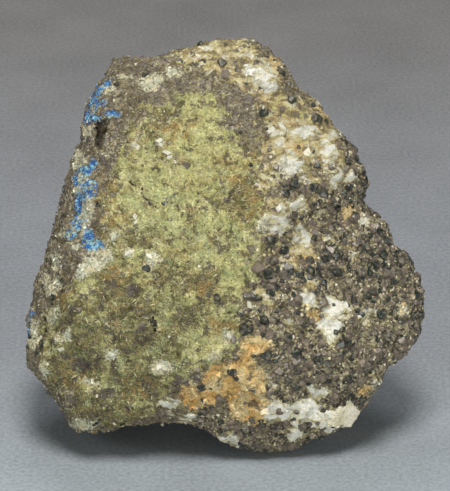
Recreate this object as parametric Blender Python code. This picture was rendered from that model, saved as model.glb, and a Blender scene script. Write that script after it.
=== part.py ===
"""Adamite specimen: one broken lump of granular ore, with its crystals and blocks grown into it.

The lump is described in its own face plane, in millimetres: across runs to the viewer's right, up
runs up along the front face, and out runs from the face plane towards the viewer. The face plane
leans back, and the underside is levelled where the lump rests. Blender's metres are used last.
"""

import math
import random

import bmesh
import bpy
from mathutils import Euler, Vector, noise
from mathutils.bvhtree import BVHTree
from mathutils.geometry import delaunay_2d_cdt

MM = 0.001
FACE_LEAN = math.radians(25.0)

# The outline seen from the front, clockwise from the lower left corner: (across, up).
OUTLINE = [
    (-41.5, 6), (-45, 9.5), (-49.5, 15.5), (-53, 20.5), (-57, 25), (-56, 33),
    (-56.5, 39), (-54.5, 44.5), (-53.5, 51.5), (-51, 61.5), (-47, 73), (-43, 84.5),
    (-41.5, 88.5), (-40.5, 96.5), (-38, 104.5), (-35, 107), (-32, 113), (-21.5, 113),
    (-14.5, 115), (-5.5, 118.5), (3, 119), (7, 118.5), (13, 115), (17.5, 109.5),
    (19.5, 104.5), (26, 100.5), (30.5, 94), (35.5, 89), (39, 83), (41, 78.5),
    (39, 71.5), (42.5, 68), (45.5, 64.5), (47.5, 59.5), (53, 57), (56, 49),
    (56.5, 42.5), (55.5, 33), (51, 27.5), (45.5, 24), (43.5, 17.5), (39.5, 12.5),
    (34.5, 7.5), (28.5, 4.5), (20, 1), (11.5, 0.5), (4.5, 1.5), (-3, 4.5),
    (-7, 7), (-12.5, 8), (-17, 9), (-23, 8), (-33, 7), (-38, 7),
]
CENTRE = (-1.0, 57.0)

# Broken faces of the lump. Each is a plane through (across, up) at a distance out of the face plane,
# with a slope per millimetre across and per millimetre up.
FRONT_FACES = {
    "main crust": (-8, 62, 27, 0.03, -0.10),
    "lower crust": (-15, 38, 28, 0.00, 0.30),
    "left flank": (-36, 90, 25, 1.50, -0.35),
    "right ore slope": (12, 60, 27, -0.30, -0.04),
    "upper right slope": (20, 95, 22, -0.55, -0.50),
    "top slope": (-15, 100, 23, 0.05, -0.75),
    "bottom edge": (10, 8, 18, 0.00, 1.30),
    "lower right slope": (38, 20, 18, -0.60, 0.55),
}
BACK_FACES = {
    "main back": (0, 60, 41, 0.02, -0.42),
    "left back": (-30, 60, 38, 0.55, -0.30),
    "right back": (30, 60, 33, -0.70, -0.35),
    "top back": (0, 95, 24, -0.10, -0.95),
    "lower right back": (34, 30, 40, -1.10, 0.10),
}
FACE_BLEND = 1.4
EDGE_SQUARENESS = 0.45

# The mesh: spacing of the surface points as a share of the half lump, and the shake given to them.
POINT_SPACING = 0.060
POINT_SHAKE = 0.28

# Relief: length and height of the broad lumps, the broken ledges and the small knobs, and the length
# and slope of the chips. The crusted front is smoother than the broken back, and the outline is kept.
LUMP_LENGTH, LUMP_HEIGHT = 26.0, 2.6
LEDGE_LENGTH, LEDGE_HEIGHT = 19.0, 2.4
KNOB_LENGTH, KNOB_HEIGHT = 6.5, 1.3
CHIP_LENGTH, CHIP_SLOPE = 15.0, 0.26
FRONT_CHIPS = 0.55
EDGE_RELIEF = 0.3

# The hollow under the front edge, in level coordinates: middle, half width, reach back and height.
HOLLOW_ACROSS, HOLLOW_HALF_WIDTH = -14.0, 22.0
HOLLOW_REACH, HOLLOW_HEIGHT = 36.0, 7.0

# Dark octahedral grains that show one by one: (across, up, radius).
LARGE_GRAINS = [
    (6, 37, 2.9), (11, 28.5, 2.1), (7.5, 29, 1.5), (10.5, 97, 2.7), (18.5, 100.5, 1.7),
    (25, 99.5, 1.6), (25.5, 95.5, 2.1), (16, 109, 1.8), (19, 105.5, 1.7), (6.5, 105.5, 1.7),
    (-22, 53.5, 1.9), (-2, 45, 1.9), (15.5, 58.5, 2.5), (19.5, 53, 3.2), (12.5, 50.5, 2.3),
    (13.5, 46.5, 2.1), (9, 45, 1.8), (11, 39, 2.2), (1.5, 24.5, 1.9), (5, 41, 1.7),
    (23.5, 53.5, 2.1), (17.5, 48.5, 2.0), (25.5, 53.5, 1.9), (38.5, 51.5, 2.2), (42.5, 61, 2.1),
    (44.8, 65, 2.5), (40.5, 77, 2.4), (33.5, 87, 2.3), (36.5, 85.5, 2.0), (38.5, 81.5, 2.3),
    (38, 75, 2.0), (11, 63, 1.9), (-37.5, 92, 2.0), (-49, 45, 2.0), (-52, 32, 2.2),
]
# Ore ground where further grains crowd: corners of its border as seen from the front.
ORE_GROUND = [
    (42, 80), (22, 72), (14, 62), (5, 55), (6, 42), (12, 34), (14, 26), (4, 20),
    (-6, 12), (-8, 6), (12, 1), (34, 8), (56, 30), (56, 50), (46, 66),
]
ORE_GRAINS = 46
BACK_GRAINS = 26
GRAIN_RADIUS = (1.7, 2.7)
GRAIN_SUNK = 0.35
GAP_BETWEEN_GRAINS = 0.3

# Cleaved calcite blocks: (across, up, width, height, how far they stand out, turn in degrees).
CALCITE_BLOCKS = [
    (33, 11, 9, 7, 1.5, -22), (27, 10, 6, 4.5, 0.9, 10), (13.5, 13.5, 10, 4, 0.8, 8),
    (32, 37, 7, 9, 0.9, 14), (1, 113, 9, 5, 0.6, 6), (11, 106, 8, 4.5, 0.9, -42),
    (31.5, 90, 4, 4, 0.9, 20), (20, 84, 8, 3.5, 0.7, -38), (30.5, 79.5, 4.5, 3.5, 1.0, 12),
    (35.5, 79, 3.5, 3.2, 1.0, -8), (16.5, 67, 8, 7, 0.6, 34), (24, 78, 5, 4, 0.8, 5),
    (20.5, 6, 5, 5, 0.9, 25), (41.5, 21.5, 3, 4, 1.0, 40), (-39, 12, 5, 3.5, 0.8, 12),
    (-15, 16, 4.5, 3, 0.8, 18), (-10, 12, 4.5, 3.5, 0.8, -30), (-4, 28, 5, 3.5, 0.6, 20),
]
CLEAVAGE_SKEW = (0.27, 0.22)
BLOCK_DEPTH = 4.0

# Hollows broken into the front: (across, up, half width, half height, depth, turn in degrees).
PITS = [
    (-35.6, 91, 1.9, 4.2, 7.0, -12), (-50, 38, 0.9, 4.0, 5.0, 8),
    (-13.5, 28, 1.5, 2.6, 2.4, 10), (11.8, 88, 1.0, 3.0, 4.0, 24),
    (-27, 41, 1.0, 2.4, 2.2, 60), (16, 41.5, 1.3, 1.8, 3.0, -30),
]

STONE_COLOUR = (0.30, 0.28, 0.17, 1.0)
STONE_ROUGHNESS = 0.75
SEED = 41


def clear_scene():
    for thing in list(bpy.data.objects):
        bpy.data.objects.remove(thing, do_unlink=True)


def stand_up(across, up, out):
    """A point of the leaning face plane, in level coordinates: right, away from the viewer, up."""
    away = up * math.sin(FACE_LEAN) - out * math.cos(FACE_LEAN)
    height = up * math.cos(FACE_LEAN) + out * math.sin(FACE_LEAN)
    return Vector((across, away, height))


def outline_radius(angle):
    """How far the outline is from the centre in one direction of the face plane."""
    way = Vector((math.cos(angle), math.sin(angle)))
    middle = Vector(CENTRE)
    reach = 0.0
    for start, end in zip(OUTLINE, OUTLINE[1:] + OUTLINE[:1]):
        first = Vector(start) - middle
        edge = Vector(end) - Vector(start)
        turn = way.x * edge.y - way.y * edge.x
        if abs(turn) < 1e-9:
            continue
        along_way = (first.x * edge.y - first.y * edge.x) / turn
        along_edge = (first.x * way.y - first.y * way.x) / turn
        if along_way > 0 and -1e-6 <= along_edge <= 1 + 1e-6:
            reach = max(reach, along_way)
    return reach


def depth_of(faces, across, up):
    """Depth under all the broken faces, with the creases between them rounded a little."""
    total = 0.0
    for at_across, at_up, out, slope_across, slope_up in faces.values():
        plane = out + slope_across * (across - at_across) + slope_up * (up - at_up)
        total += math.exp(-plane / FACE_BLEND)
    return max(1.0, -FACE_BLEND * math.log(total))


def chip_height(point):
    """Height of broken chips: each chip is a flat of its own slope, with a step to the next one."""
    _, middles = noise.voronoi(point / CHIP_LENGTH)
    slope = noise.cell_vector(middles[0])
    return CHIP_SLOPE * CHIP_LENGTH * (point / CHIP_LENGTH - middles[0]).dot(slope)


def relief(point, side):
    """Height of lumps, ledges, knobs and chips at a point of the lump."""
    lumps = LUMP_HEIGHT * noise.fractal(point / LUMP_LENGTH, 1.0, 2.0, 2)
    steps = 3.0 * noise.noise(point / LEDGE_LENGTH + Vector((7, 3, 5)))
    tread = math.floor(steps)
    rise = min(1.0, (steps - tread) * 3.0)
    ledges = LEDGE_HEIGHT * (tread + rise) / 3.0
    knobs = KNOB_HEIGHT * noise.noise(point / KNOB_LENGTH + Vector((1, 9, 2)))
    chips = chip_height(point) * (FRONT_CHIPS if side > 0 else 1.0)
    return lumps + ledges + knobs + chips


def surface_point(disc_x, disc_y, side):
    """A point of the lump for a place on a unit disc. side is 1 for the front and -1 for the back."""
    angle = math.atan2(disc_y, disc_x)
    tilt = min(1.0, math.hypot(disc_x, disc_y)) * math.pi / 2
    reach = outline_radius(angle) * math.sin(tilt)
    across = CENTRE[0] + reach * math.cos(angle)
    up = CENTRE[1] + reach * math.sin(angle)
    faces = FRONT_FACES if side > 0 else BACK_FACES
    out = side * depth_of(faces, across, up) * max(0.0, math.cos(tilt)) ** EDGE_SQUARENESS
    point = Vector((across, up, out))
    facing = math.cos(tilt)
    outwards = Vector((math.sin(tilt) * math.cos(angle), math.sin(tilt) * math.sin(angle), side * facing))
    strength = EDGE_RELIEF + (1 - EDGE_RELIEF) * min(1.0, 1.6 * facing)
    return point + outwards * strength * relief(point, side)


def underside(x, y):
    """Height of the levelled underside: nothing where the lump rests, and a hollow under the front."""
    side = 1 - ((x - HOLLOW_ACROSS) / HOLLOW_HALF_WIDTH) ** 2
    back = 1 - max(0.0, y) / HOLLOW_REACH
    return HOLLOW_HEIGHT * max(0.0, side) * max(0.0, back) ** 0.7


def rest_on_floor(point):
    point.z = max(point.z, underside(point.x, point.y))
    return point


def disc_points(rng):
    """Rim points through the outline's corners and edge middles, and shaken inner points."""
    rim = []
    for start, end in zip(OUTLINE, OUTLINE[1:] + OUTLINE[:1]):
        middle = ((start[0] + end[0]) / 2, (start[1] + end[1]) / 2)
        for across, up in (start, middle):
            angle = math.atan2(up - CENTRE[1], across - CENTRE[0])
            rim.append(Vector((math.cos(angle), math.sin(angle))))
    inner = []
    rows = int(1 / (POINT_SPACING * 0.866)) + 1
    for row in range(-rows, rows + 1):
        for column in range(-rows, rows + 1):
            x = (column + 0.5 * (row % 2)) * POINT_SPACING
            y = row * POINT_SPACING * 0.866
            x += rng.uniform(-POINT_SHAKE, POINT_SHAKE) * POINT_SPACING
            y += rng.uniform(-POINT_SHAKE, POINT_SHAKE) * POINT_SPACING
            if math.hypot(x, y) < 1 - 0.6 * POINT_SPACING:
                inner.append(Vector((x, y)))
    return rim, inner


def make_lump(rng):
    """The closed lump: a front and a back skin that share the outline, levelled underneath."""
    rim, inner = disc_points(rng)
    flat, _, triangles, _, _, _ = delaunay_2d_cdt(rim + inner, [], [], 0, 1e-5)
    on_rim = [place.length > 1 - 1e-4 for place in flat]
    lump = bmesh.new()
    front = [lump.verts.new(rest_on_floor(stand_up(*surface_point(p.x, p.y, 1)))) for p in flat]
    back = []
    for place, shared, vertex in zip(flat, on_rim, front):
        if shared:
            back.append(vertex)
        else:
            back.append(lump.verts.new(rest_on_floor(stand_up(*surface_point(place.x, place.y, -1)))))
    for corners in triangles:
        lump.faces.new([front[i] for i in corners])
        lump.faces.new([back[i] for i in reversed(corners)])
    bmesh.ops.recalc_face_normals(lump, faces=lump.faces)
    flatten_rests(lump)
    return lump


def flatten_rests(lump):
    """Makes one flat face of each patch of level triangles at the bottom."""
    level = [f for f in lump.faces if all(v.co.z < 1e-6 for v in f.verts)]
    edges = {e for f in level for e in f.edges}
    verts = {v for f in level for v in f.verts}
    bmesh.ops.dissolve_limit(
        lump, angle_limit=math.radians(0.5), verts=list(verts), edges=list(edges), use_dissolve_boundaries=False
    )
    bmesh.ops.triangulate(lump, faces=[f for f in lump.faces if len(f.verts) > 3])


def touch(tree, across, up, side):
    """Where a line along the view meets the lump, from the front or from the back."""
    far = 200.0 * side
    start = stand_up(across, up, far)
    way = (stand_up(across, up, -far) - start).normalized()
    place, normal, _, _ = tree.ray_cast(start, way)
    return place, normal


def seat(tree, across, up, width, height):
    """The middle and the normal of a flat laid on the lump's front, from four places around it."""
    right, _ = touch(tree, across + width / 2, up, 1)
    left, _ = touch(tree, across - width / 2, up, 1)
    upper, _ = touch(tree, across, up + height / 2, 1)
    lower, _ = touch(tree, across, up - height / 2, 1)
    normal = (right - left).cross(upper - lower).normalized()
    return (right + left + upper + lower) / 4, normal


def random_turn(rng):
    return Euler([rng.uniform(0, math.tau) for _ in range(3)]).to_matrix()


def add_grain(mesh, place, radius, rng):
    """An octahedral grain with its corners cut, slightly uneven."""
    turn = random_turn(rng)
    corners = []
    for axis in range(3):
        for end in (-1, 1):
            tip = Vector((0, 0, 0))
            tip[axis] = end * radius * rng.uniform(0.92, 1.08)
            corners.append(tip)
    for x in (-1, 1):
        for y in (-1, 1):
            for z in (-1, 1):
                corners.append(Vector((x, y, z)) * radius * rng.uniform(0.50, 0.60))
    verts = [mesh.verts.new(place + turn @ corner) for corner in corners]
    made = bmesh.ops.convex_hull(mesh, input=verts)
    unused = [v for v in verts if not v.link_faces]
    bmesh.ops.delete(mesh, geom=unused, context="VERTS")
    return made


def add_block(mesh, place, normal, width, height, stands_out, turn):
    """A skewed cleavage block, seated on the lump along its normal."""
    right = Vector((1, 0, 0)) - normal * normal.x
    right.normalize()
    upward = normal.cross(right)
    aside = right * math.cos(turn) + upward * math.sin(turn)
    along = upward * math.cos(turn) - right * math.sin(turn)
    skewed_along = along + aside * CLEAVAGE_SKEW[0]
    skewed_out = normal + aside * CLEAVAGE_SKEW[1] + along * CLEAVAGE_SKEW[1] * 0.5
    verts = []
    for out in (-BLOCK_DEPTH, stands_out):
        for x, y in ((-0.5, -0.5), (0.5, -0.5), (0.5, 0.5), (-0.5, 0.5)):
            corner = place + aside * x * width + skewed_along * y * height + skewed_out * out
            verts.append(mesh.verts.new(corner))
    bmesh.ops.convex_hull(mesh, input=verts)


def inside(corners, across, up):
    """Whether a place lies within a border given by its corners."""
    crossings = 0
    for (x0, y0), (x1, y1) in zip(corners, corners[1:] + corners[:1]):
        if (y0 > up) != (y1 > up) and across < x0 + (up - y0) * (x1 - x0) / (y1 - y0):
            crossings += 1
    return crossings % 2 == 1


def scatter(rng, wanted, border, taken):
    """Random places within a border, each clear of the places taken before it."""
    places = []
    while len(places) < wanted:
        across = rng.uniform(min(x for x, _ in border), max(x for x, _ in border))
        up = rng.uniform(min(y for _, y in border), max(y for _, y in border))
        radius = rng.uniform(*GRAIN_RADIUS)
        clear = all(
            math.hypot(across - x, up - y) > radius + r + GAP_BETWEEN_GRAINS
            for x, y, r in taken + places
        )
        if clear and inside(border, across, up):
            places.append((across, up, radius))
    return places


def make_growths(tree, rng):
    """Grains on the front and back and calcite blocks on the front, all in one mesh."""
    growths = bmesh.new()
    front = LARGE_GRAINS + scatter(rng, ORE_GRAINS, ORE_GROUND, LARGE_GRAINS)
    shrunk = [(CENTRE[0] + 0.85 * (x - CENTRE[0]), CENTRE[1] + 0.75 * (y - CENTRE[1])) for x, y in OUTLINE]
    back = scatter(rng, BACK_GRAINS, shrunk, [])
    for side, grains in ((1, front), (-1, back)):
        for across, up, radius in grains:
            place, normal = touch(tree, across, up, side)
            if place is None or place.z < 2 * radius:
                continue
            add_grain(growths, place - normal * radius * GRAIN_SUNK, radius, rng)
    for across, up, width, height, stands_out, degrees in CALCITE_BLOCKS:
        place, normal = seat(tree, across, up, width, height)
        add_block(growths, place, normal, width, height, stands_out, math.radians(degrees))
    bmesh.ops.recalc_face_normals(growths, faces=growths.faces)
    return growths


def make_pits(tree):
    """Lens-shaped cutters for the hollows broken into the front."""
    pits = bmesh.new()
    for across, up, half_width, half_height, depth, degrees in PITS:
        place, normal = touch(tree, across, up, 1)
        turn = normal.to_track_quat("Z", "Y").to_matrix() @ Euler((0, 0, math.radians(degrees))).to_matrix()
        made = bmesh.ops.create_icosphere(pits, subdivisions=1, radius=1.0)
        for vertex in made["verts"]:
            local = Vector((vertex.co.x * half_width, vertex.co.y * half_height, vertex.co.z * depth))
            vertex.co = place + turn @ local
    return pits


def to_object(name, mesh_data):
    """A Blender object in metres from a bmesh in millimetres."""
    bmesh.ops.scale(mesh_data, vec=(MM, MM, MM), verts=mesh_data.verts)
    mesh = bpy.data.meshes.new(name)
    mesh_data.to_mesh(mesh)
    mesh_data.free()
    thing = bpy.data.objects.new(name, mesh)
    bpy.context.scene.collection.objects.link(thing)
    return thing


def as_cutter(thing):
    thing.hide_render = True
    thing.display_type = "WIRE"


def combine(rock, other, operation):
    """Applies one Boolean with a helper object, and removes the helper."""
    as_cutter(other)
    step = rock.modifiers.new(operation.lower(), "BOOLEAN")
    step.object = other
    step.operation = operation
    step.use_self = True
    bpy.context.view_layer.update()
    result = bpy.data.meshes.new_from_object(rock.evaluated_get(bpy.context.evaluated_depsgraph_get()))
    rock.modifiers.clear()
    rock.data = result
    bpy.data.objects.remove(other, do_unlink=True)


def centre_on_floor(rock):
    """Moves the mesh so that the middle of its box is over the origin."""
    xs = [v.co.x for v in rock.data.vertices]
    ys = [v.co.y for v in rock.data.vertices]
    shift = Vector((-(min(xs) + max(xs)) / 2, -(min(ys) + max(ys)) / 2, 0))
    for vertex in rock.data.vertices:
        vertex.co += shift


def stone_material():
    material = bpy.data.materials.new("adamite_ore")
    material.use_nodes = True
    shader = material.node_tree.nodes["Principled BSDF"]
    shader.inputs["Base Color"].default_value = STONE_COLOUR
    shader.inputs["Roughness"].default_value = STONE_ROUGHNESS
    shader.inputs["Metallic"].default_value = 0.0
    material.diffuse_color = STONE_COLOUR
    return material


def main():
    clear_scene()
    rng = random.Random(SEED)
    lump = make_lump(rng)
    tree = BVHTree.FromBMesh(lump)
    growths = make_growths(tree, rng)
    pits = make_pits(tree)
    rock = to_object("rock", lump)
    combine(rock, to_object("growths", growths), "UNION")
    combine(rock, to_object("pits", pits), "DIFFERENCE")
    centre_on_floor(rock)
    rock.data.materials.clear()
    rock.data.materials.append(stone_material())


main()
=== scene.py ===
# %% [markdown]
# # An adamite specimen
#
# The real object is a broken lump of granular ore. A yellow-green crust of adamite covers its front,
# azurite fills a seam on its left edge, calcite shows as white cleavage on its upper right, and
# dark octahedral ore grains crowd its right side. Everything grew together, so the solid from the
# CAD is one lump. This lesson keeps that lump's form, gives it a fine surface, and then grows the
# small crystals on it.

# %% Load the frame and measure the solid
import math
import random
from statistics import NormalDist
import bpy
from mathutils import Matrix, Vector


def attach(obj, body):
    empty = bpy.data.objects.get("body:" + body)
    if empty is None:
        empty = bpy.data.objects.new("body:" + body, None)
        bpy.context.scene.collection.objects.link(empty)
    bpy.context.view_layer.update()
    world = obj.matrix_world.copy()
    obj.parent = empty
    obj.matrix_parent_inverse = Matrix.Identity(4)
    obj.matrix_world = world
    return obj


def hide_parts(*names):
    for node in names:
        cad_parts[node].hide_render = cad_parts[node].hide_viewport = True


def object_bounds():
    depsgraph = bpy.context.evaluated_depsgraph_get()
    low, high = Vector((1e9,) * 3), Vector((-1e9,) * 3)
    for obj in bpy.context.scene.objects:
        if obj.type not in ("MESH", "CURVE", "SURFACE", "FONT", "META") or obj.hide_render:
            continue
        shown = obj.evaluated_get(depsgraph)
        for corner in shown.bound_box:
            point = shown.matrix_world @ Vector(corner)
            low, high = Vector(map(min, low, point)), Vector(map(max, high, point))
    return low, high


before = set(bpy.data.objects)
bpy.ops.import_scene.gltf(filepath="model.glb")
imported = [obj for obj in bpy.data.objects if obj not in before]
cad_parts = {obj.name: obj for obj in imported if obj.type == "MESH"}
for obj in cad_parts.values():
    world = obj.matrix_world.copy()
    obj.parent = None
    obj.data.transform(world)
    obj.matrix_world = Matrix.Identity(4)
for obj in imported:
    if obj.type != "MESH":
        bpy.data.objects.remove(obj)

from types import SimpleNamespace

import bmesh
import bpy
import numpy as np
from mathutils import Euler, Matrix, Vector, noise
from mathutils.bvhtree import BVHTree

MM = 0.001
solid_low, solid_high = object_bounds()
solid_size = [round(x * 1000, 1) for x in solid_high - solid_low]
print("the solid is", solid_size, "mm")

# %% [markdown]
# ## A fine copy of the lump
#
# The solid has nine thousand flat triangles. A rock needs bumps finer than that. Subdividing would
# keep the long thin triangles where grains were joined on, so a voxel remesh is used: it gives an
# even net of small squares over the whole lump, which can then be shaken by noise.

# %% Remesh the lump
NET_SIZE = 0.71 * MM


def placed(name, data):
    """A new object with some data, put into the scene."""
    thing = bpy.data.objects.new(name, data)
    bpy.context.scene.collection.objects.link(thing)
    return thing


def merged_copy(node, name):
    """A new object with a CAD node's shape, its loose triangles joined."""
    mesh = node.data.copy()
    joined = bmesh.new()
    joined.from_mesh(mesh)
    bmesh.ops.remove_doubles(joined, verts=joined.verts, dist=1e-7)
    joined.to_mesh(mesh)
    joined.free()
    mesh.materials.clear()
    return placed(name, mesh)


def made_plain(thing):
    """Replaces an object's mesh by what its modifiers make of it."""
    bpy.context.view_layer.update()
    evaluated = thing.evaluated_get(bpy.context.evaluated_depsgraph_get())
    made = bpy.data.meshes.new_from_object(evaluated)
    thing.modifiers.clear()
    thing.data = made
    return thing


ground = merged_copy(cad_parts["rock"], "rock_ground")
remesh = ground.modifiers.new("net", "REMESH")
remesh.mode = "VOXEL"
remesh.voxel_size = NET_SIZE
made_plain(ground)
print("net of", len(ground.data.vertices), "points")

# %% [markdown]
# ## Where each mineral lies
#
# The minerals are placed on the face as it is seen from the front: millimetres across from the
# middle of the lump, and millimetres up along the leaning face. Each one is a few soft patches, or a
# border. Their edges are bent by noise, because no real vein has a round edge. Out of sight, on
# the back, the same minerals are placed by slow noise instead.

# %% Measure every point in the plane of the face
FACE_LEAN = math.radians(25.0)
UP = np.array([0.0, math.sin(FACE_LEAN), math.cos(FACE_LEAN)])
OUT = np.array([0.0, -math.cos(FACE_LEAN), math.sin(FACE_LEAN)])
OUTLINE_MIDDLE_ACROSS = -0.25
OUTLINE_LOWEST_UP = 0.5


def rows_of(mesh, what):
    """The places or the normals of a mesh's points, as rows of x, y, z."""
    rows = np.zeros(len(mesh.vertices) * 3, np.float32)
    mesh.vertices.foreach_get(what, rows)
    return rows.reshape(-1, 3).astype(float)


solid_places = rows_of(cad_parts["rock"].data, "co")
middle_x = (solid_low.x + solid_high.x) / 2
lowest_up = (solid_places @ UP).min() - OUTLINE_LOWEST_UP * MM
face_plane_y = lowest_up / UP[1]
face_out = face_plane_y * OUT[1]


def face_place(places):
    """Across, up and out of each place, in millimetres in the plane of the face."""
    across = (places[:, 0] - middle_x) / MM + OUTLINE_MIDDLE_ACROSS
    up = (places @ UP - lowest_up) / MM
    out = (places @ OUT - face_out) / MM
    return across, up, out


def row_place(across, up, out):
    """The reverse of face_place for one point: its place in the row's frame, in metres."""
    away = (up * math.sin(FACE_LEAN) - out * math.cos(FACE_LEAN)) * MM + face_plane_y
    height = (up * math.cos(FACE_LEAN) + out * math.sin(FACE_LEAN)) * MM
    return Vector(((across - OUTLINE_MIDDLE_ACROSS) * MM + middle_x, away, height))


places = rows_of(ground.data, "co")
normals = rows_of(ground.data, "normal")
across, up, out = face_place(places)
print("the face runs", across.min().round(1), "to", across.max().round(1), "mm across")
print("and", up.max().round(1), "mm up")

# %% [markdown]
# Noise is smooth and random, and the same for the same place each time. It could come from a
# texture, but here the numbers are needed in Python, so mathutils' noise is read at every point.
# Places bent by it turn a plain ellipse into a ragged patch.

# %% Noise at every point
def noise_at(points, length, seed=0, octaves=1):
    """Smooth noise about 0 at each point, for a wavelength in millimetres."""
    shift = Vector((seed * 7.31, seed * 3.17, seed * 5.77))
    if octaves == 1:
        return np.array([noise.noise(Vector(p) / (length * MM) + shift) for p in points])
    return np.array([noise.fractal(Vector(p) / (length * MM) + shift, 1.0, 2.0, octaves) for p in points])


def smooth_step(value, low, high):
    t = np.clip((value - low) / (high - low), 0, 1)
    return t * t * (3 - 2 * t)


slow = noise_at(places, 13, 1, 2)
middling = noise_at(places, 5.0, 2, 2)
fine = noise_at(places, 1.9, 3, 2)
BROAD_BEND, FINE_BEND = 1.6, 0.7
bent_across = across + BROAD_BEND * middling + FINE_BEND * fine
bent_up = up + BROAD_BEND * noise_at(places, 5.0, 4, 2) + FINE_BEND * noise_at(places, 1.9, 5, 1)
print("places bent by up to", round(float(np.abs(bent_across - across).max()), 1), "mm")

# %% [markdown]
# A patch is an ellipse: across, up, half width, half height and, where it is turned, the degrees. A
# border is a list of corners, and a crack is a line with a width. Each gives a depth in millimetres
# that is positive inside, so they can be blended and their edges frayed later.

# %% Patches and borders
def patch_depth(patches):
    """Depth inside the nearest of some elliptical patches."""
    depth = np.full(len(places), -99.0)
    for centre_across, centre_up, half_width, half_height, *turn in patches:
        angle = math.radians(sum(turn))
        dx, dy = bent_across - centre_across, bent_up - centre_up
        along = dx * math.cos(angle) + dy * math.sin(angle)
        beside = dy * math.cos(angle) - dx * math.sin(angle)
        reach = np.hypot(along / half_width, beside / half_height)
        depth = np.maximum(depth, (1 - reach) * math.sqrt(half_width * half_height))
    return depth


def segment_places(corners):
    """For each stretch between two corners: its start and run, and every point's distance from it."""
    for (x0, y0), (x1, y1) in zip(corners, corners[1:]):
        dx, dy = x1 - x0, y1 - y0
        share = np.clip(((bent_across - x0) * dx + (bent_up - y0) * dy) / (dx * dx + dy * dy), 0, 1)
        yield (x0, y0, dx, dy), np.hypot(bent_across - x0 - share * dx, bent_up - y0 - share * dy)


def border_depth(corners):
    """Depth inside a border, negative outside."""
    nearest = np.full(len(places), 99.0)
    inside = np.zeros(len(places), bool)
    for (x0, y0, dx, dy), gap in segment_places(corners + corners[:1]):
        nearest = np.minimum(nearest, gap)
        crosses = ((y0 > bent_up) != (y0 + dy > bent_up)) & (
            bent_across < x0 + (bent_up - y0) * dx / (dy if dy else 1e-9)
        )
        inside ^= crosses
    return np.where(inside, nearest, -nearest)


def line_depth(lines, half_width):
    """Depth inside narrow lines through some points."""
    nearest = np.full(len(places), 99.0)
    for line in lines:
        for _, gap in segment_places(line):
            nearest = np.minimum(nearest, gap)
    return half_width - nearest


print("patches, borders and lines can be measured")

# %% [markdown]
# ## The map of the front
#
# The corners and patches are chosen from the photograph, in millimetres on the real lump.
# Adamite is the crust of the middle and lower left. Ore is the dark granular side. Cream is
# weathered calcite with rust in it, and calcite is the clean white cleavage within it. Pale is the
# mint and cream coating near the azurite seam.

# %% Borders and patches of the minerals
ADAMITE_BORDER = [
    (-29, 84), (-27, 91), (-22, 98.5), (-14, 101), (-11.5, 102), (-1, 102), (0, 90), (6, 89),
    (10.5, 91), (9.5, 84), (11, 76), (12, 70), (9.5, 64), (12, 60), (8, 55), (9, 50), (5, 46), (6, 41),
    (3, 38), (5, 33), (-1, 29), (-10, 22.5), (-17, 19), (-21, 12), (-29, 8), (-41, 9.5), (-48, 18),
    (-53, 26), (-53, 35.5), (-49.5, 42), (-43, 48), (-38, 53.5), (-34, 57.5), (-34.5, 64), (-33.5, 71),
    (-31.5, 78),
]
ORE_BORDER = [
    (48, 96), (32.5, 95), (31.5, 91), (33.2, 87), (34.5, 82.5), (38.5, 79), (37.5, 75.5), (30, 76),
    (28, 80.5), (15.5, 81), (14.5, 76.5), (22, 73), (14, 64), (10, 59), (12, 54), (7, 50), (9, 45),
    (5, 41), (8, 36), (14, 32), (12, 22), (9, 8), (-6, 14), (-12, 10), (-8, 0), (12, -4), (40, 4),
    (60, 28), (60, 52), (48, 70),
]
CALCITE_PATCHES = [
    (0.3, 112.6, 2.2, 1.0), (7.1, 112.9, 2.2, 1.8), (8.4, 108.6, 3.6, 2.4, -30),
    (12.3, 105.4, 3.4, 2.4, -40), (15, 91.7, 2.0, 2.2), (22.2, 91.7, 4.0, 1.5, -8),
    (29.6, 90.4, 3.0, 2.4, 20), (16.7, 88.5, 3.4, 1.3, 5), (29.6, 85.1, 2.6, 3.4),
    (19.2, 83.5, 4.4, 2.2, -50), (23, 86, 1.8, 1.2), (17.8, 80.8, 2.2, 1.4), (31, 79.1, 2.1, 2.5),
    (35.4, 78.9, 2.3, 2.2), (15.5, 67, 3.4, 4.4, 20), (20.5, 71, 2, 2.0), (22, 62.5, 2.6, 2.4),
    (39.5, 67.5, 2.4, 1.8), (36.5, 58, 1.2, 1.2), (23, 45, 2.4, 3.0), (31, 45.5, 2.2, 1.5),
    (31.2, 42.0, 4.2, 3.6, 15), (29.0, 36.8, 4.2, 4.6, 20), (39.7, 40.3, 1.6, 1.6),
    (46.5, 38, 1.3, 0.8), (41.7, 21.7, 1.5, 2.2, -30), (26.3, 17.2, 2.0, 2.6),
    (13.7, 13.4, 5.8, 3.4, 5), (22.3, 12.8, 6.0, 3.2), (29.2, 10.4, 5.2, 3.4, 10),
    (20.3, 5.7, 2.0, 3.0), (0.6, 3.7, 2.8, 2.2, -15), (-10.3, 11.1, 1.5, 2.7, -20),
    (-15.3, 15.3, 2.2, 2.2), (14, 22.5, 1.0, 2.0, 40), (7, 43.5, 1.5, 1.2), (-25, 88, 0.8, 1.3, -30),
    (-18.3, 88.5, 1.0, 1.3, 10), (-15.7, 85.7, 0.9, 1.5, 30), (-14, 84, 0.7, 0.8),
]
CREAM_BORDER = [
    (3, 119.5), (8.5, 118), (10, 112.5), (15.5, 107), (20, 101.5), (27, 98.5), (31.5, 92), (33.5, 86),
    (35, 82), (28, 81.5), (15.5, 82), (12.5, 84), (11, 87), (13.5, 94), (9, 101), (3, 105.5),
    (-5.5, 108.5), (-14, 111.5), (-15, 115.5), (-8, 118.5),
]
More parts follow.
